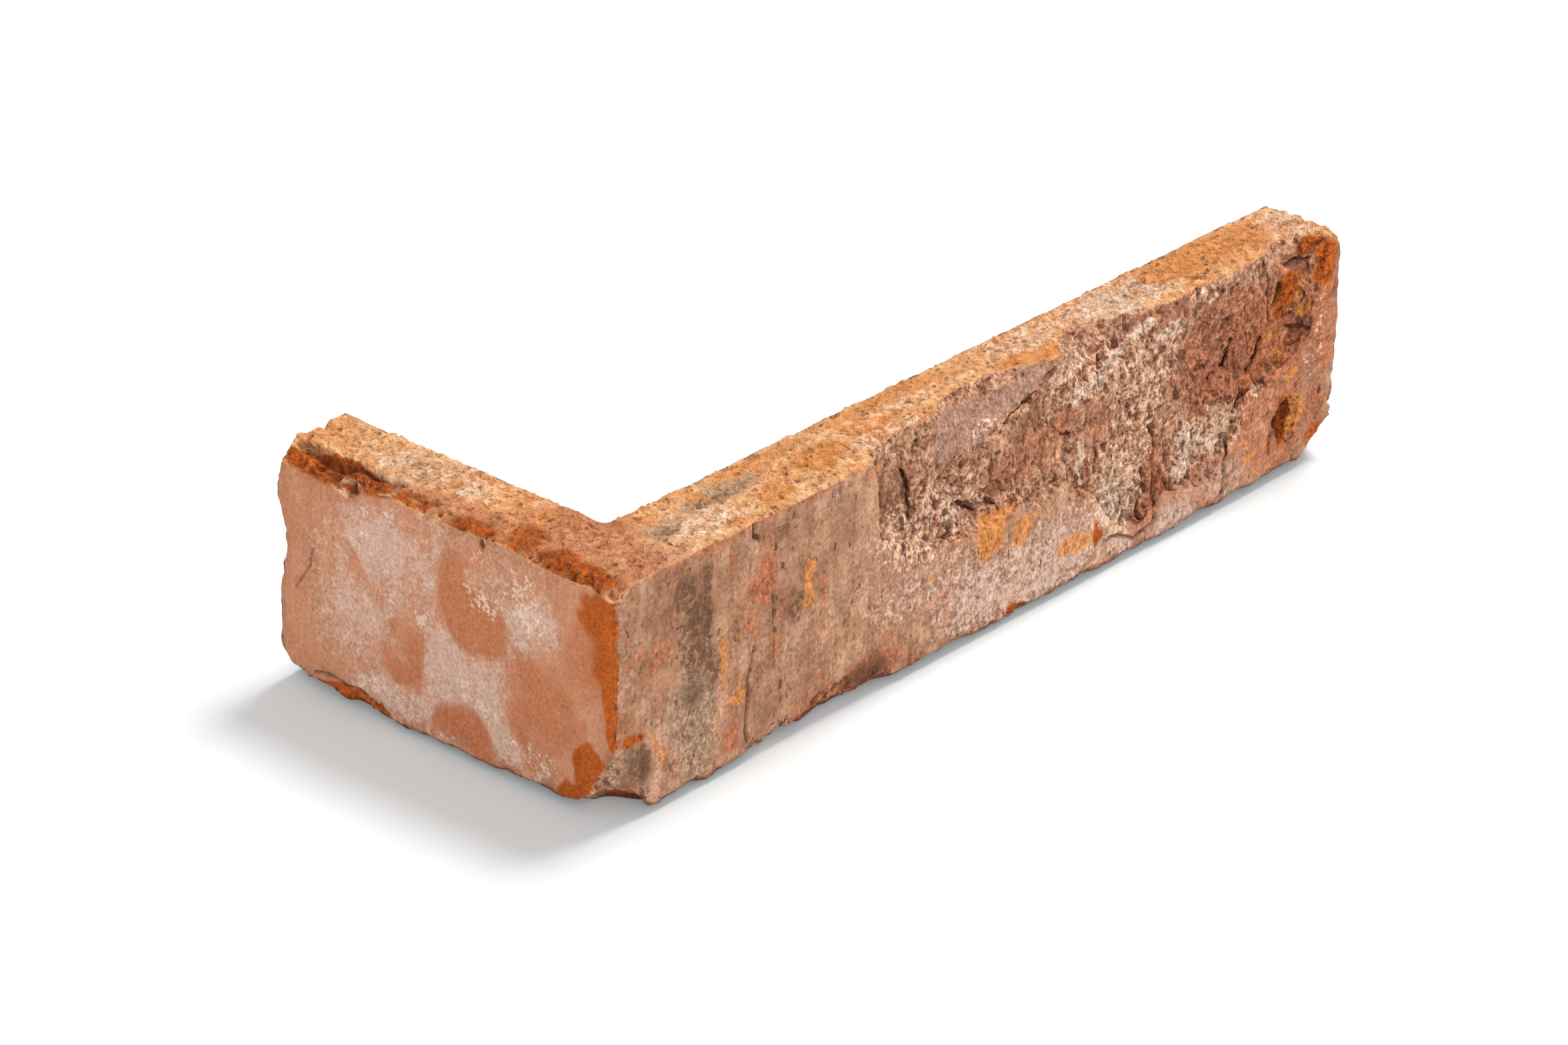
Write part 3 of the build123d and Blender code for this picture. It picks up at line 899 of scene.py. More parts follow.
    def _roughen(
        self, points: Array, normals: Array, zones: Zones, stains: dict[str, Array], web: Web
    ) -> Array:
        """Moves the points to give the clay its relief.

        Args:
            points: The points, in millimetres.
            normals: Their normals.
            zones: Where they lie.
            stains: What was laid on them; the depth of the marks is taken out of it.
            web: Which points are neighbours.

        Returns:
            The moved points, none below the lower bed.
        """
        # What is sawn or stands on the floor stays flat.
        free = 1 - np.maximum(zones.sawn, zones.foot)
        broken = zones.broken * free
        rough = np.maximum(broken * (1 - 0.8 * stains[Stain.SMOOTH.value]), 0.3 * zones.ends)
        soft = np.clip(web.mean(broken, 6) * 1.4, 0, 1) * zones.stretcher
        # Arrises are nibbled everywhere and worn back in places.
        nibbled = np.clip(0.5 + 1.1 * self.coarse.layered(points, 6, 4, 0.65), 0, 1.6)
        rounded = web.mean(points, 12) - points
        nicked = 1.3 * smooth(0.05, 0.5, self.pitted.layered(points, 6, 3, 0.6)) * free
        worn = web.mean(points, 66) - points
        start = points + rounded * np.maximum(0.85 * soft, nibbled)[:, None] + worn * nicked[:, None]
        out = free * self._skin(points, zones) + rough * self._crumbs(points, stains)
        out += zones.bed * free * self._bed_grain(points)
        crusted = (0.5 + self.fine.at(points, 2.4)).clip(0, 1.2)
        out += self.lime_crust * stains[Stain.LIME.value] * broken * crusted
        out -= stains.pop("depth")
        moved = start + normals * out[:, None]
        drift = np.stack([grain.layered(points, 8, 4, 0.6) for grain in (self.fine, self.pitted)], 1)
        moved[:, (0, 2)] += self.scar_stray * drift * (soft * (1 - zones.bed) * (1 - zones.foot))[:, None]
        moved[:, 2] = np.maximum(moved[:, 2] + self._foot_wear(points), 0)
        return moved

    def _foot_wear(self, points: Array) -> Array:
        """How far the lower arris of the two outer faces is worn up off the floor, in millimetres."""
        x, y, z = (points - (self.low[0], self.low[1], 0)).T
        uneven = 0.75 + self.coarse.layered(points * (1, 1, 0), 16, 3, 0.6)
        near = smooth(9, 1, np.minimum(x, y)) * smooth(5, 0, z)
        return self.foot_wear * uneven.clip(0.15, 1.3) * near

    def _skin(self, points: Array, zones: Zones) -> Array:
        """How far the worn skins stand out: low waves, drag lines and small pits.

        Args:
            points: The points, in millimetres.
            zones: Where they lie.

        Returns:
            The height at each point, in millimetres.
        """
        waves = 0.5 * self.coarse.layered(points, 42, 2)
        grain = 0.22 * self.fine.layered(points, 4, 3, 0.6)
        drag = 0.25 * self.pitted.layered(points * (1, 1, 0.08), 3.0, 2) * (1 - zones.bed)
        near, rank = self.fine.cells(points * (1, 1, 0.5), 4.2)
        pits = smooth(0.24 * rank, 0.05, near) * (rank > 0.5)
        return waves + grain + drag - self.pit_depth * pits * zones.stretcher

    def _crumbs(self, points: Array, stains: dict[str, Array]) -> Array:
        """How far the broken clay stands out: lumps with sharp furrows, grains and holes.

        Args:
            points: The points, in millimetres.
            stains: What was laid on them; sandy clay has more grains, red clay larger lumps.

        Returns:
            The height at each point, in millimetres.
        """
        lumps = np.zeros(len(points))
        for size, height in ((11.0, 1.0), (5.5, 1.2), (2.6, 1.1)):
            lumps += height * (np.abs(self.coarse.at(points * (1, 1, 0.7), size)) - 0.3)
        lumps *= 0.8 + 0.4 * stains[Stain.RED.value]
        ridges = 0.6 * self.fine.layered(points * (1, 1, 0.3), 4, 3, 0.65)
        near, rank = self.pitted.cells(points, 1.8)
        grains = (0.35 + 0.6 * stains[Stain.SAND.value]) * smooth(0.75, 0.15, near) * (rank - 0.3)
        hole, depth = self.fine.cells(points * (1, 1, 0.5), 2.7)
        holes = smooth(0.4 * depth, 0.1, hole) * (depth > 0.55)
        return lumps + ridges + grains - self.hole_depth * holes

    def _bed_grain(self, points: Array) -> Array:
        """How far the sanded bed stands out, in millimetres: crumbs, with torn pits between."""
        crumbs = 1.1 * (np.abs(self.fine.at(points, 4.2)) - 0.3) + 0.6 * self.fine.at(points, 2.0)
        torn = smooth(0.2, 0.55, self.coarse.layered(points, 7, 4, 0.65))
        return crumbs - self.torn_depth * torn + 0.5 * self.pitted.layered(points, 14, 2)

    def _hollows(self, mesh: bpy.types.Mesh, web: Web) -> Array:
        """How hollow the roughened clay is; the material paints shade and dirt into its hollows.

        Args:
            mesh: The roughened mesh.
            web: Its neighbours.

        Returns:
            How hollow each point is, 0 to 1.
        """
        points, normals = self._read(mesh)
        close = np.sum((web.mean(points, 3) - points) * normals, axis=1)
        wide = np.sum((web.mean(points, 20) - points) * normals, axis=1)
        return smooth(0.05, 0.9, web.mean(close, 1) * 2.2 + wide)

    def _thin(self, piece: bpy.types.Object, smooth_places: Array) -> None:
        """Makes facets larger where the clay is flat, until the piece has its number of triangles.

        Args:
            piece: The piece.
            smooth_places: Which of its points may go.
        """
        group = piece.vertex_groups.new(name="smooth")
        group.add(np.flatnonzero(smooth_places).tolist(), 1.0, "REPLACE")
        piece.data.calc_loop_triangles()
        thin = piece.modifiers.new("larger_facets", "DECIMATE")
        thin.vertex_group = group.name
        thin.ratio = min(1.0, self.triangles / len(piece.data.loop_triangles))
        self._apply(piece)
        piece.vertex_groups.clear()


@dataclass(frozen=True)
class Signal:
    """A value that shader nodes make, which takes part in sums.

    Attributes:
        tree: The node tree.
        socket: The socket that gives the value.
    """

    tree: bpy.types.NodeTree
    socket: bpy.types.NodeSocket

    def _sum(self, operation: str, first: Any, second: Any) -> "Signal":
        """One Math node, on two values that may be plain numbers."""
        node = self.tree.nodes.new("ShaderNodeMath")
        node.operation = operation
        for place, value in enumerate((first, second)):
            if isinstance(value, Signal):
                self.tree.links.new(value.socket, node.inputs[place])
            else:
                node.inputs[place].default_value = value
        return Signal(self.tree, node.outputs[0])

    def __add__(self, other: Any) -> "Signal":
        """The sum."""
        return self._sum("ADD", self, other)

    __radd__ = __add__

    def __sub__(self, other: Any) -> "Signal":
        """The difference."""
        return self._sum("SUBTRACT", self, other)

    def __rsub__(self, other: Any) -> "Signal":
        """The difference, from a plain number."""
        return self._sum("SUBTRACT", other, self)

    def __mul__(self, other: Any) -> "Signal":
        """The product."""
        return self._sum("MULTIPLY", self, other)

    __rmul__ = __mul__

    def most(self, other: Any) -> "Signal":
        """The larger of the two."""
        return self._sum("MAXIMUM", self, other)


class Recipe:
    """A material in the making: its nodes, and short ways to add them."""

    def __init__(self, name: str) -> None:
        """Starts an empty material.

        Args:
            name: The material's name.
        """
        self.material = bpy.data.materials.new(name)
        self.material.use_nodes = True
        self.tree = self.material.node_tree
        self.tree.nodes.clear()

    def node(self, kind: str, settings: dict[str, Any], inputs: dict[str, Any], output: str = "") -> Signal:
        """Adds any node.

        Args:
            kind: The node's type.
            settings: Its settings, set first.
            inputs: Values or links, by the sockets' identifiers.
            output: The identifier of the output that is wanted, or the first if it is empty.

        Returns:
            That output.
        """
        made = self.tree.nodes.new(kind)
        for key, value in settings.items():
            setattr(made, key, value)
        sockets = {socket.identifier: socket for socket in made.inputs}
        for key, value in inputs.items():
            if isinstance(value, Signal):
                self.tree.links.new(value.socket, sockets[key])
            else:
                sockets[key].default_value = value
        outputs = {socket.identifier: socket for socket in made.outputs}
        return Signal(self.tree, outputs[output] if output else made.outputs[0])

    def attribute(self, name: str) -> Signal:
        """A value that the mesh holds at its points."""
        return self.node("ShaderNodeAttribute", {"attribute_name": name}, {}, "Fac")

    def object_place(self) -> Signal:
        """The place on the piece, in its own frame."""
        return self.node("ShaderNodeTexCoord", {}, {}, "Object")

    def stretch(self, place: Signal, ratio: tuple[float, float, float]) -> Signal:
        """A place scaled along each axis; a small ratio draws a pattern out along it."""
        inputs = {"Vector": place, "Vector_001": ratio}
        return self.node("ShaderNodeVectorMath", {"operation": "MULTIPLY"}, inputs)

    def noise(self, place: Signal, seed: int, size: float, detail: float, rough: float) -> Signal:
        """Noise of a size in millimetres.

        Args:
            place: Where it is read.
            seed: Which noise it is.
            size: How large its lumps are.
            detail: How many smaller sizes it has.
            rough: How strong those are.

        Returns:
            The noise, about -1 to 1.
        """
        inputs = {"Vector": place, "W": seed, "Scale": 1 / (size * MM), "Detail": detail, "Roughness": rough}
        settings = {"noise_dimensions": "4D", "normalize": True}
        return (self.node("ShaderNodeTexNoise", settings, inputs, "Fac") - 0.5) * 4

    def grains(self, place: Signal, size: float) -> tuple[Signal, Signal]:
        """Packed grains of a size in millimetres.

        Args:
            place: Where they are read.
            size: How far apart the grains are.

        Returns:
            How far each place is from the middle of its grain, and the grain's own shade, 0 to 1.
        """
        inputs = {"Vector": place, "Scale": 1 / (size * MM)}
        away = self.node("ShaderNodeTexVoronoi", {"voronoi_dimensions": "3D"}, inputs, "Distance")
        return away, Signal(self.tree, away.socket.node.outputs["Color"])

    def step(self, value: Signal, low: float, high: float) -> Signal:
        """A soft step of a value, 0 at low and 1 at high."""
        settings = {"interpolation_type": "SMOOTHSTEP"}
        return self.node("ShaderNodeMapRange", settings, {"Value": value, "From Min": low, "From Max": high})

    def shade(self, colour: Signal, light: Signal) -> Signal:
        """A colour made lighter or darker by a value about 1."""
        inputs = {"Vector": colour, "Scale": light.most(0.05)}
        return self.node("ShaderNodeVectorMath", {"operation": "SCALE"}, inputs, "Vector")

    def mix(self, share: Any, first: Any, second: Any) -> Signal:
        """A colour between two.

        Args:
            share: How much of the second there is.
            first: The first colour.
            second: The second colour.

        Returns:
            The colour.
        """
        ends = {"A_Color": first, "B_Color": second}
        ends = {key: value if isinstance(value, Signal) else (*value, 1) for key, value in ends.items()}
        settings = {"data_type": "RGBA"}
        return self.node("ShaderNodeMix", settings, {"Factor_Float": share, **ends}, "Result_Color")

    def finish(self, shader: Signal) -> bpy.types.Material:
        """Sends a shader to the output and gives the material."""
        output = self.tree.nodes.new("ShaderNodeOutputMaterial")
        self.tree.links.new(shader.socket, output.inputs["Surface"])
        return self.material


class ClayGrain:
    """The noises, grains and zones that the clay's colours and its finest relief are made of.

    Attributes:
        cloud, blotch, speck, grit, dust: Even noises, from the largest lumps to the finest.
        fleck, nick, fibre: Noises drawn out a little way upright.
        band, streak: Noises drawn out a long way upright.
        away, tone: Distance from the middle of the nearest crumb, and that crumb's shade.
        apart, rank: The same for the seats of the pits and of the scar's holes.
        within, which: The same for the seats of the bed's holes.
        header, bed, ends, broken: Zones; broken leaves out what has worn smooth again.
        uneven: All rough zones together.
        skin: What is neither rough nor on the header.
    """

    DRAWN = (1, 1, 0.1)
    DASHED = (1, 1, 0.45)

    def __init__(self, make: Recipe) -> None:
        """Adds them to a material.

        Args:
            make: The material in the making.
        """
        place = make.object_place()
        drawn, dashed = make.stretch(place, self.DRAWN), make.stretch(place, self.DASHED)
        self.cloud = make.noise(place, seed=1, size=24, detail=5, rough=0.6)
        self.blotch = make.noise(place, seed=2, size=8, detail=6, rough=0.68)
        self.fleck = make.noise(dashed, seed=3, size=5, detail=6, rough=0.7)
        self.streak = make.noise(drawn, seed=4, size=2.0, detail=4, rough=0.65)
        self.speck = make.noise(place, seed=5, size=2.2, detail=3, rough=0.65)
        self.grit = make.noise(place, seed=6, size=1.0, detail=2, rough=0.6)
        self.nick = make.noise(dashed, seed=7, size=1.2, detail=2, rough=0.6)
        self.band = make.noise(drawn, seed=8, size=7, detail=3, rough=0.6)
        self.dust = make.noise(place, seed=9, size=0.45, detail=2, rough=0.6)
        self.fibre = make.noise(dashed, seed=10, size=1.0, detail=3, rough=0.7)
        self.away, self.tone = make.grains(dashed, 1.5)
        self.apart, self.rank = make.grains(dashed, 3.2)
        self.within, self.which = make.grains(place, 2.3)
        self.header, self.bed, self.ends = (make.attribute(zone) for zone in ("header", "bed", "ends"))
        self.broken = make.attribute("broken") * (1 - make.attribute(Stain.SMOOTH.value) * 0.85)
        self.uneven = self.broken.most(self.bed).most(self.ends * 0.7)
        self.skin = 1 - self.uneven.most(self.header)


@dataclass(frozen=True)
class Holes:
    """The small holes of each surface, 0 to 1.

    Attributes:
        nicked: Short upright nicks, most of them in the stretcher's skin.
        pitted: Pits in the stretcher's skin.
        bored: Holes in the upper bed.
        holed: Holes in the scar.
    """

    nicked: Signal
    pitted: Signal
    bored: Signal
    holed: Signal

    @classmethod
    def of(cls, make: Recipe, clay: ClayGrain) -> "Holes":
        """Makes them from the clay's grains.

        Args:
            make: The material in the making.
            clay: Its noises and zones.

        Returns:
            The holes.
        """
        ragged = clay.speck * 0.07 + clay.grit * 0.05
        nicked = make.step(clay.nick, 0.55, 0.85) * (clay.skin * 0.75 + clay.uneven * 0.35)
        pitted = make.step(clay.apart + ragged * 1.5, 0.2, 0.08) * make.step(clay.rank, 0.72, 0.77)
        bored = make.step(clay.within + ragged, 0.3, 0.14) * make.step(clay.which, 0.5, 0.55)
        holed = make.step(clay.apart + ragged, 0.34, 0.16) * make.step(clay.rank, 0.45, 0.5)
        return cls(nicked, pitted * clay.skin, bored * clay.bed, holed * clay.broken * (1 - clay.bed))


@dataclass(frozen=True)
class Film:
    """How one stain lies on the clay.

    Attributes:
        stain: Which stain it is.
        light: Its colour.
        dark: Its colour where the grain is darker.
        low: Where its rim starts, as a strength of the stain.
        high: Where it covers in full.
        cover: How much of the clay it hides there, 0 to 1.
        ragged: How much the clay's blotches break up its rim.
        grain: How much the clay's fine grain breaks it up.
    """

    stain: Stain
    light: Colour
    dark: Colour
    low: float
    high: float
    cover: float
    ragged: float
    grain: float


@dataclass(frozen=True)
class FiredClay:
    """Finish of the old brick: worn skins of several colours, bare clay, lime and soot, with painted shade
    in its hollows and at its foot.

    Attributes:
        salmon: The header's skin.
        salmon_deep: The header's skin where it is darker.
        pink: The stretcher's skin.
        pink_deep: The stretcher's skin where it is darker.
        ash: Grey flecks on the stretcher.
        ochre: Tan blotches on the stretcher.
        chalk: Pale fibres on the stretcher.
        bed_sand: The upper bed where sand sticks to it.
        bed_orange: The upper bed's clay.
        scar_light: The scar's pale crumbs.
        scar_deep: The scar's red crumbs.
        dash_and_dent_shade: The small nicks, pits and bed holes: dark grain in the nicks, and painted shade
            in all of these dents.
        crevice_dirt_and_shade: Dirt and painted shade in the hollows, cracks, gouges and scar holes, and the
            painted contact shadow at the foot.
        sawn: The sawn backs.
        films: The stains, from the lowest to the uppermost.
        roughness: How matt the clay is.
        gloss: How much of a plain surface's gloss it has, where 0.5 is usual.
        relief: Height of the finest relief, in millimetres.
    """

    salmon: Colour = srgb(214, 152, 118)
    salmon_deep: Colour = srgb(190, 124, 90)
    pink: Colour = srgb(218, 168, 136)
    pink_deep: Colour = srgb(158, 102, 72)
    ash: Colour = srgb(158, 126, 102)
    ochre: Colour = srgb(206, 134, 82)
    chalk: Colour = srgb(238, 214, 196)
    bed_sand: Colour = srgb(248, 200, 150)
    bed_orange: Colour = srgb(230, 144, 78)
    scar_light: Colour = srgb(234, 184, 150)
    scar_deep: Colour = srgb(160, 92, 60)
    dash_and_dent_shade: Colour = srgb(96, 58, 40)
    crevice_dirt_and_shade: Colour = srgb(88, 46, 30)
    sawn: Colour = srgb(204, 126, 84)
    films: tuple[Film, ...] = (
        Film(
            Stain.SMOOTH, srgb(190, 150, 129), srgb(162, 116, 95),
            low=0.3, high=0.7, cover=0.85, ragged=0.4, grain=0.4,
        ),
        Film(
            Stain.BROWN, srgb(176, 120, 86), srgb(118, 76, 52),
            low=0.3, high=0.8, cover=0.7, ragged=0.6, grain=0.8,
        ),
        Film(
            Stain.LICHEN, srgb(200, 168, 140), srgb(132, 100, 76),
            low=0.35, high=0.7, cover=0.75, ragged=0.5, grain=1.0,
        ),
        Film(
            Stain.WASH, srgb(228, 198, 182), srgb(208, 168, 146),
            low=0.25, high=0.95, cover=0.8, ragged=0.65, grain=0.8,
        ),
        Film(
            Stain.RED, srgb(206, 124, 86), srgb(144, 74, 46),
            low=0.3, high=0.75, cover=0.65, ragged=0.7, grain=0.8,
        ),
        Film(
            Stain.SAND, srgb(250, 214, 182), srgb(218, 162, 124),
            low=0.35, high=0.85, cover=0.8, ragged=0.5, grain=0.9,
        ),
        Film(
            Stain.ORANGE, srgb(208, 130, 88), srgb(180, 102, 62),
            low=0.3, high=0.85, cover=0.75, ragged=0.5, grain=0.5,
        ),
        Film(
            Stain.YELLOW, srgb(230, 152, 82), srgb(214, 130, 62),
            low=0.4, high=0.75, cover=0.85, ragged=0.35, grain=0.35,
        ),
        Film(
            Stain.FRESH, srgb(206, 104, 34), srgb(146, 64, 18),
            low=0.35, high=0.65, cover=1.0, ragged=0.4, grain=0.4,
        ),
        Film(
            Stain.SOOT, srgb(112, 80, 56), srgb(58, 40, 28),
            low=0.3, high=0.65, cover=0.85, ragged=0.5, grain=1.1,
        ),
        Film(
            Stain.LIME, srgb(242, 212, 188), srgb(218, 178, 150),
            low=0.5, high=0.85, cover=0.85, ragged=0.5, grain=0.85,
        ),
    )

    roughness: float = 0.92
    gloss: float = 0.25
    relief: float = 0.7

    def material(self) -> bpy.types.Material:
        """Builds the material.

        Returns:
            The material, which reads the mesh's zones and stains.
        """
        make = Recipe("fired_clay")
        clay = ClayGrain(make)
        holes = Holes.of(make, clay)
        colour = self._stained(make, clay, self._bare(make, clay))
        inputs = {
            "Base Color": self._with_painted_shade(make, clay, holes, colour),
            "Roughness": self.roughness,
            "Specular IOR Level": self.gloss,
            "Normal": self._bumps(make, clay, holes),
        }
        return make.finish(make.node("ShaderNodeBsdfPrincipled", {}, inputs))

    def _bare(self, make: Recipe, clay: ClayGrain) -> Signal:
        """The colours of the skins, the upper bed, the sawn backs and the scar, before any stain.

        Args:
            make: The material in the making.
            clay: Its noises and zones.

        Returns:
            The colour.
        """
        mottle = clay.band * 0.45 + clay.streak * 0.3 + clay.blotch * 0.65 + clay.fibre * 0.3
        ashen = make.step(clay.fleck + clay.cloud * 0.5 + clay.fibre * 0.4, 0.1, 0.8) * 0.55
        tanned = make.step(clay.blotch - clay.fleck * 0.7 + clay.band * 0.4, 0.55, 0.85) * 0.6
        chalky = make.step(clay.dust * 0.5 + clay.fibre * 0.7 + clay.streak * 0.3, 0.6, 1.0) * 0.5
        colour = make.mix(make.step(mottle, -0.8, 0.8), self.pink, self.pink_deep)
        for share, flecks in ((ashen, self.ash), (tanned, self.ochre), (chalky, self.chalk)):
            colour = make.mix(share, colour, flecks)
        plain = clay.band * 0.3 + clay.streak * 0.4 + clay.blotch * 0.5 + clay.fibre * 0.3
        plain = make.step(plain, -0.8, 0.8)
        sanded = make.step(clay.cloud * 0.5 + clay.blotch * 0.7 + clay.speck * 0.5, -0.9, 0.9)
        colour = make.mix(clay.header, colour, make.mix(plain, self.salmon, self.salmon_deep))
        colour = make.mix(clay.bed, colour, make.mix(sanded, self.bed_orange, self.bed_sand))
        colour = make.mix(make.attribute("sawn"), colour, make.mix(plain, self.sawn, self.salmon))
        crumbled = clay.fleck * 0.5 + clay.speck * 0.5 + clay.grit * 0.4 + (clay.tone - 0.5) * 0.6
        crumbled = make.step(crumbled, -0.8, 0.8)
        scarred = (clay.broken * (1 - clay.bed)).most(clay.ends * 0.7)
        scarred = make.step(scarred * (1 + clay.blotch * 0.6 + clay.speck * 0.3), 0.2, 0.6)
        return make.mix(scarred, colour, make.mix(crumbled, self.scar_deep, self.scar_light))

    def _stained(self, make: Recipe, clay: ClayGrain, colour: Signal) -> Signal:
        """Lays the stains over the bare clay.

        Args:
            make: The material in the making.
            clay: Its noises and zones.
            colour: The bare clay's colour.

        Returns:
            The stained colour.
        """
        dither = clay.speck * 0.55 + clay.grit * 0.4 + clay.dust * 0.25
        calm = dither * (1 - clay.header * 0.5)
        shade = clay.streak * 0.3 + (clay.speck + clay.grit) * (0.5 - clay.header * 0.3) + clay.dust * 0.25
        shade = make.step(shade, -0.8, 0.8)
        for film in self.films:
            laid = make.attribute(film.stain.value)
            broken_up = dither if film.stain is Stain.LIME else calm
            strength = laid * (1 + clay.blotch * film.ragged)
            strength = strength + make.step(laid, 0.05, 0.4) * broken_up * film.grain
            cover = make.step(strength, film.low, film.high)
            colour = make.mix(cover * film.cover, colour, make.mix(shade, film.dark, film.light))
        return colour

    def _with_painted_shade(self, make: Recipe, clay: ClayGrain, holes: Holes, colour: Signal) -> Signal:
        """Paints shade and some dirt into the holes, hollows, cracks, gouges and foot, and gives the colour
        its grain.

        Args:
            make: The material in the making.
            clay: Its noises and zones.
            holes: Its small holes.
            colour: The stained colour.

        Returns:
            The finished colour.
        """
        # Painted shade in the small nicks, pits and bed holes, with the dark grain of the nicks.
        shaded_dents_and_dashes = holes.nicked.most(holes.pitted * 0.7).most(holes.bored * 0.45)
        colour = make.mix(shaded_dents_and_dashes, colour, self.dash_and_dent_shade)
        # Painted shade, with some dirt, in the hollows, gouges, scar holes and cracks, and a painted contact
        # shadow along the foot.
        hollow = make.attribute("hollow") * (1 + clay.blotch * 0.4 + clay.speck * 0.3)
        hollow = make.step(hollow, 0.2, 0.9) * (0.6 - clay.bed * 0.35)
        gouge = make.attribute(Mark.GOUGE.value) * (1 + clay.speck * 0.3 + clay.grit * 0.2)
        gouge = make.step(gouge, 0.4, 0.8) * (0.85 - clay.bed * 0.4)
        deep = hollow.most(gouge).most(holes.holed * 0.7)
        deep = deep.most(make.attribute(Mark.CRACK.value) * 0.85).most(make.attribute("shade") * 0.8)
        colour = make.mix(deep, colour, self.crevice_dirt_and_shade)
        grained = clay.grit * (0.2 + clay.skin * 0.25 + clay.uneven * 0.3 - clay.bed * 0.25)
        grained = grained + clay.speck * (0.1 + clay.skin * 0.15 + clay.uneven * 0.3)
        grained = grained + clay.fibre * clay.skin * 0.3 + clay.dust * 0.1
        toned = (clay.tone - 0.5) * clay.uneven * (1 - clay.bed) * 0.3
        return make.shade(colour, 1 + grained + toned)

    def _bumps(self, make: Recipe, clay: ClayGrain, holes: Holes) -> Signal:
        """The clay's finest relief.

        Args:
            make: The material in the making.
            clay: Its noises and zones.
            holes: Its small holes.

        Returns:
            The normal that the relief gives.
        """
        height = clay.speck * (0.15 + clay.uneven * 0.6) + clay.grit * (0.15 + clay.uneven * 0.4)
        height = height + clay.dust * 0.1
        height = height + clay.fibre * clay.skin * 0.2 - clay.away * clay.uneven * 0.3 - holes.nicked * 0.3
        height = height - holes.pitted.most(holes.bored).most(holes.holed)
        inputs = {"Strength": 1.0, "Distance": self.relief * MM, "Height": height}
        return make.node("ShaderNodeBump", {}, inputs, "Normal")


@dataclass(frozen=True)
class PhotoCamera:
    """The camera at the photograph's angle.

    Attributes:
        azimuth: Round the object, in degrees; 0 looks along +Y.
        elevation: Above the horizon, in degrees.
        roll: Turn about the line of sight, in degrees.
        target: The point that it looks at, in millimetres.
        distance: From the target, in millimetres.
        lens: Focal length, in millimetres.
        sensor: Width of its sensor, in millimetres.
        sight: How far it sees, in metres.
    """

    azimuth: float = -48.8549
    elevation: float = 26.8955
    roll: float = 0.9128
    target: tuple[float, float, float] = (-36.7294, -17.2883, 31.0)
    distance: float = 1606.518
    lens: float = 142.380
    sensor: float = 36.0
    sight: float = 50.0

    def place(self) -> bpy.types.Object:
        """Adds the camera to the scene and looks through it.

        Returns:
            The camera.
        """
        around, above, roll = (math.radians(a) for a in (self.azimuth, self.elevation, self.roll))
        back = Vector(
            (math.sin(around) * math.cos(above), -math.cos(around) * math.cos(above), math.sin(above))
        )
        right = Vector((0, 0, 1)).cross(back).normalized()
        up = back.cross(right)
        turned_right = right * math.cos(roll) + up * math.sin(roll)
        turned_up = up * math.cos(roll) - right * math.sin(roll)
        data = bpy.data.cameras.new("photo_camera")
        data.sensor_fit = "HORIZONTAL"
        data.sensor_width = self.sensor
        data.lens = self.lens
        data.clip_end = self.sight
        camera = bpy.data.objects.new("photo_camera", data)
        turn = Matrix((turned_right, turned_up, back)).transposed().to_4x4()
        spot = (Vector(self.target) + back * self.distance) * MM
        camera.matrix_world = Matrix.Translation(spot) @ turn
        bpy.context.scene.collection.objects.link(camera)
        bpy.context.scene.camera = camera
        return camera


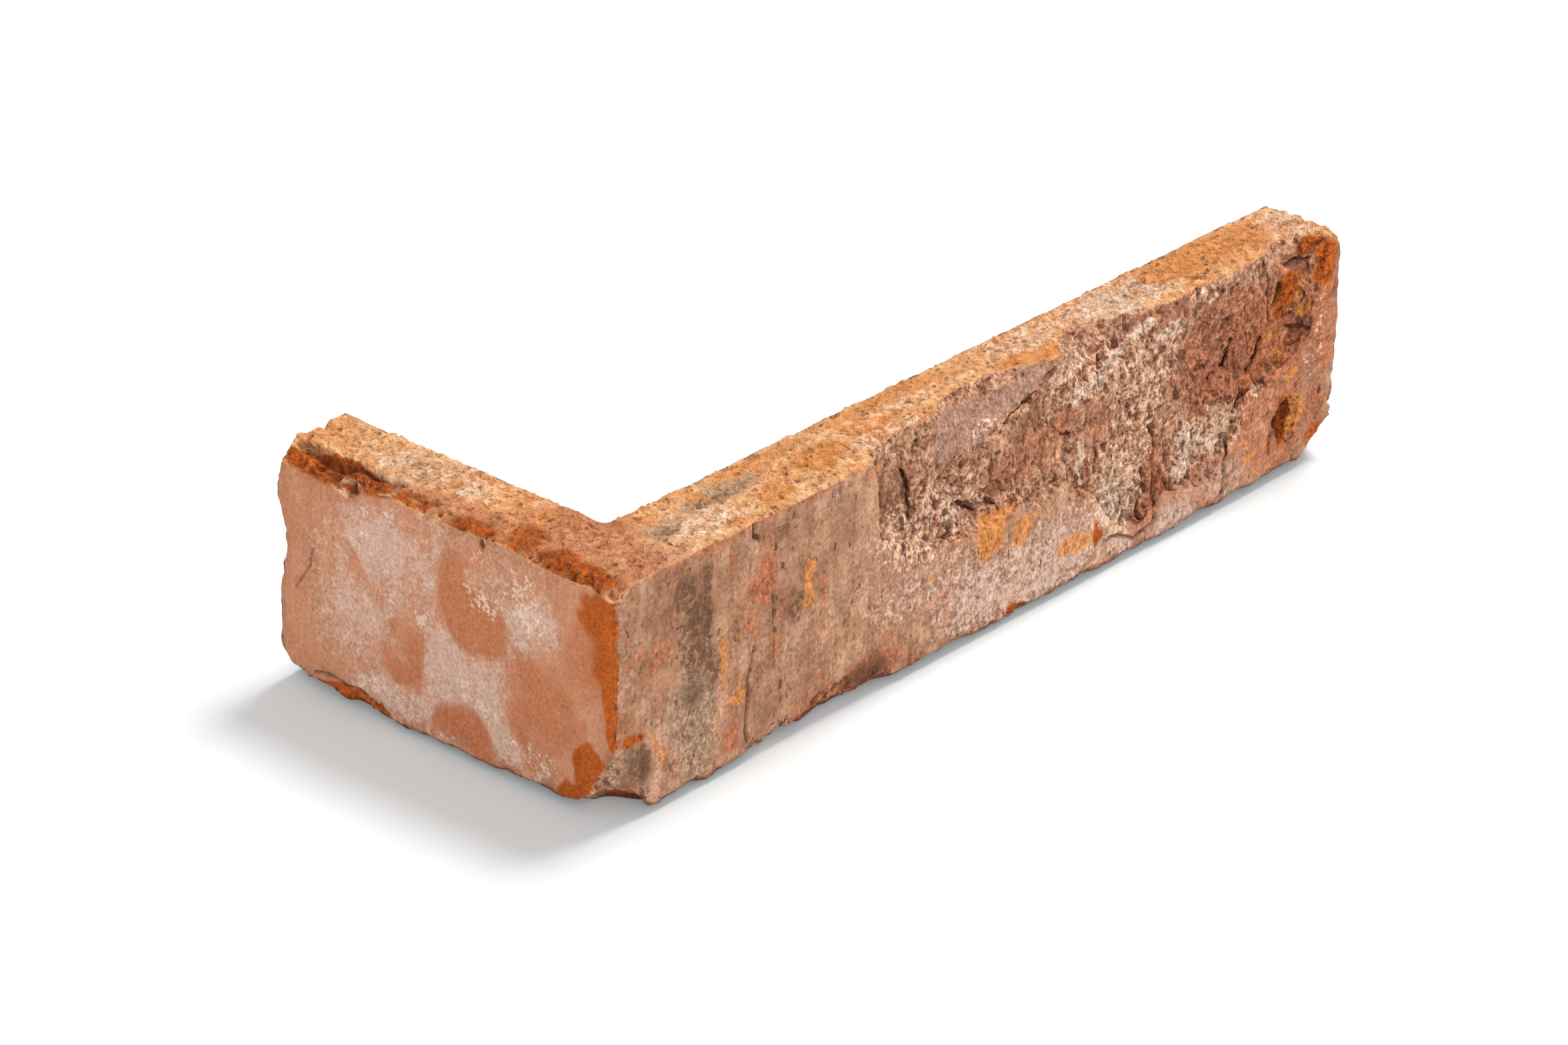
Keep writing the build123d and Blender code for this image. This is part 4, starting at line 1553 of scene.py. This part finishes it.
@dataclass(frozen=True)
class Studio:
    """The plain pale floor and the soft light.

    Attributes:
        floor_size: Side of the floor, in metres.
        floor_white: How much light the floor sends back; a little blue, against the glow of the clay.
        floor_lift: What the camera sees the floor brighter by; cool, for the same reason.
        sky: Strength of the even light from all round.
        key: Strength of the light from above.
        key_from: Where it comes from.
        key_width: How wide it is, in degrees.
        fill: Strength of the light from the front.
        fill_from: Where that comes from.
        fill_width: How wide it is, in degrees.
    """

    floor_size: float = 12.0
    floor_white: Colour = (0.80, 0.82, 0.825)
    floor_lift: Colour = (0.1, 0.12, 0.125)
    sky: float = 0.45
    key: float = 2.2
    key_from: tuple[float, float, float] = (0.53, 0.0, 1.0)
    key_width: float = 20.0
    fill: float = 1.5
    fill_from: tuple[float, float, float] = (-0.58, -0.66, 0.30)
    fill_width: float = 60.0

    def build(self) -> bpy.types.Object:
        """Adds the floor, the lamps and the world.

        Returns:
            The floor.
        """
        half = self.floor_size / 2
        mesh = bpy.data.meshes.new("floor")
        corners = [(-half, -half, 0), (half, -half, 0), (half, half, 0), (-half, half, 0)]
        mesh.from_pydata(corners, [], [(0, 1, 2, 3)])
        floor = bpy.data.objects.new("floor", mesh)
        floor.data.materials.append(self._floor_paint())
        bpy.context.scene.collection.objects.link(floor)
        self._lamp("key_light", self.key, self.key_from, self.key_width)
        self._lamp("fill_light", self.fill, self.fill_from, self.fill_width)
        self._world()
        return floor

    def _floor_paint(self) -> bpy.types.Material:
        """Matt white that the camera sees a little brighter."""
        make = Recipe("white_floor")
        matt = make.node("ShaderNodeBsdfDiffuse", {}, {"Color": (*self.floor_white, 1)})
        seen = make.node("ShaderNodeLightPath", {}, {}, "Is Camera Ray")
        glow = make.node("ShaderNodeEmission", {}, {"Color": (*self.floor_lift, 1), "Strength": seen})
        return make.finish(make.node("ShaderNodeAddShader", {}, {"Shader": matt, "Shader_001": glow}))

    @staticmethod
    def _lamp(name: str, strength: float, comes_from: tuple[float, float, float], width: float) -> None:
        """One even light from a direction."""
        data = bpy.data.lights.new(name, "SUN")
        data.energy = strength
        data.angle = math.radians(width)
        lamp = bpy.data.objects.new(name, data)
        lamp.rotation_euler = Vector(comes_from).to_track_quat("Z", "Y").to_euler()
        bpy.context.scene.collection.objects.link(lamp)

    def _world(self) -> None:
        """Even light all round, white where the camera or a reflection sees it."""
        world = bpy.data.worlds.new("studio")
        bpy.context.scene.world = world
        world.use_nodes = True
        tree = world.node_tree
        tree.nodes.clear()
        path = tree.nodes.new("ShaderNodeLightPath")
        seen = Signal(tree, path.outputs["Is Camera Ray"])
        seen = seen.most(Signal(tree, path.outputs["Is Glossy Ray"]))
        seen = seen.most(Signal(tree, path.outputs["Is Transmission Ray"]))
        strength = self.sky + seen * (1 - self.sky)
        light = tree.nodes.new("ShaderNodeBackground")
        tree.links.new(strength.socket, light.inputs["Strength"])
        light.inputs["Color"].default_value = (1, 1, 1, 1)
        output = tree.nodes.new("ShaderNodeOutputWorld")
        tree.links.new(light.outputs[0], output.inputs["Surface"])


def main() -> None:
    """Builds the slip and its studio, and logs how many triangles the dressed piece has."""
    logging.basicConfig(level=logging.INFO, format="%(name)s: %(message)s")
    bpy.context.scene.view_settings.view_transform = "Standard"
    PhotoCamera().place()
    Studio().build()
    clay = ClayBody().build()
    clay.data.materials.append(FiredClay().material())
    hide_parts(NODE)
    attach(clay, BODY)
    clay.data.calc_loop_triangles()
    LOG.info("%s: %d triangles", clay.name, len(clay.data.loop_triangles))


if __name__ == "__main__":
    main()
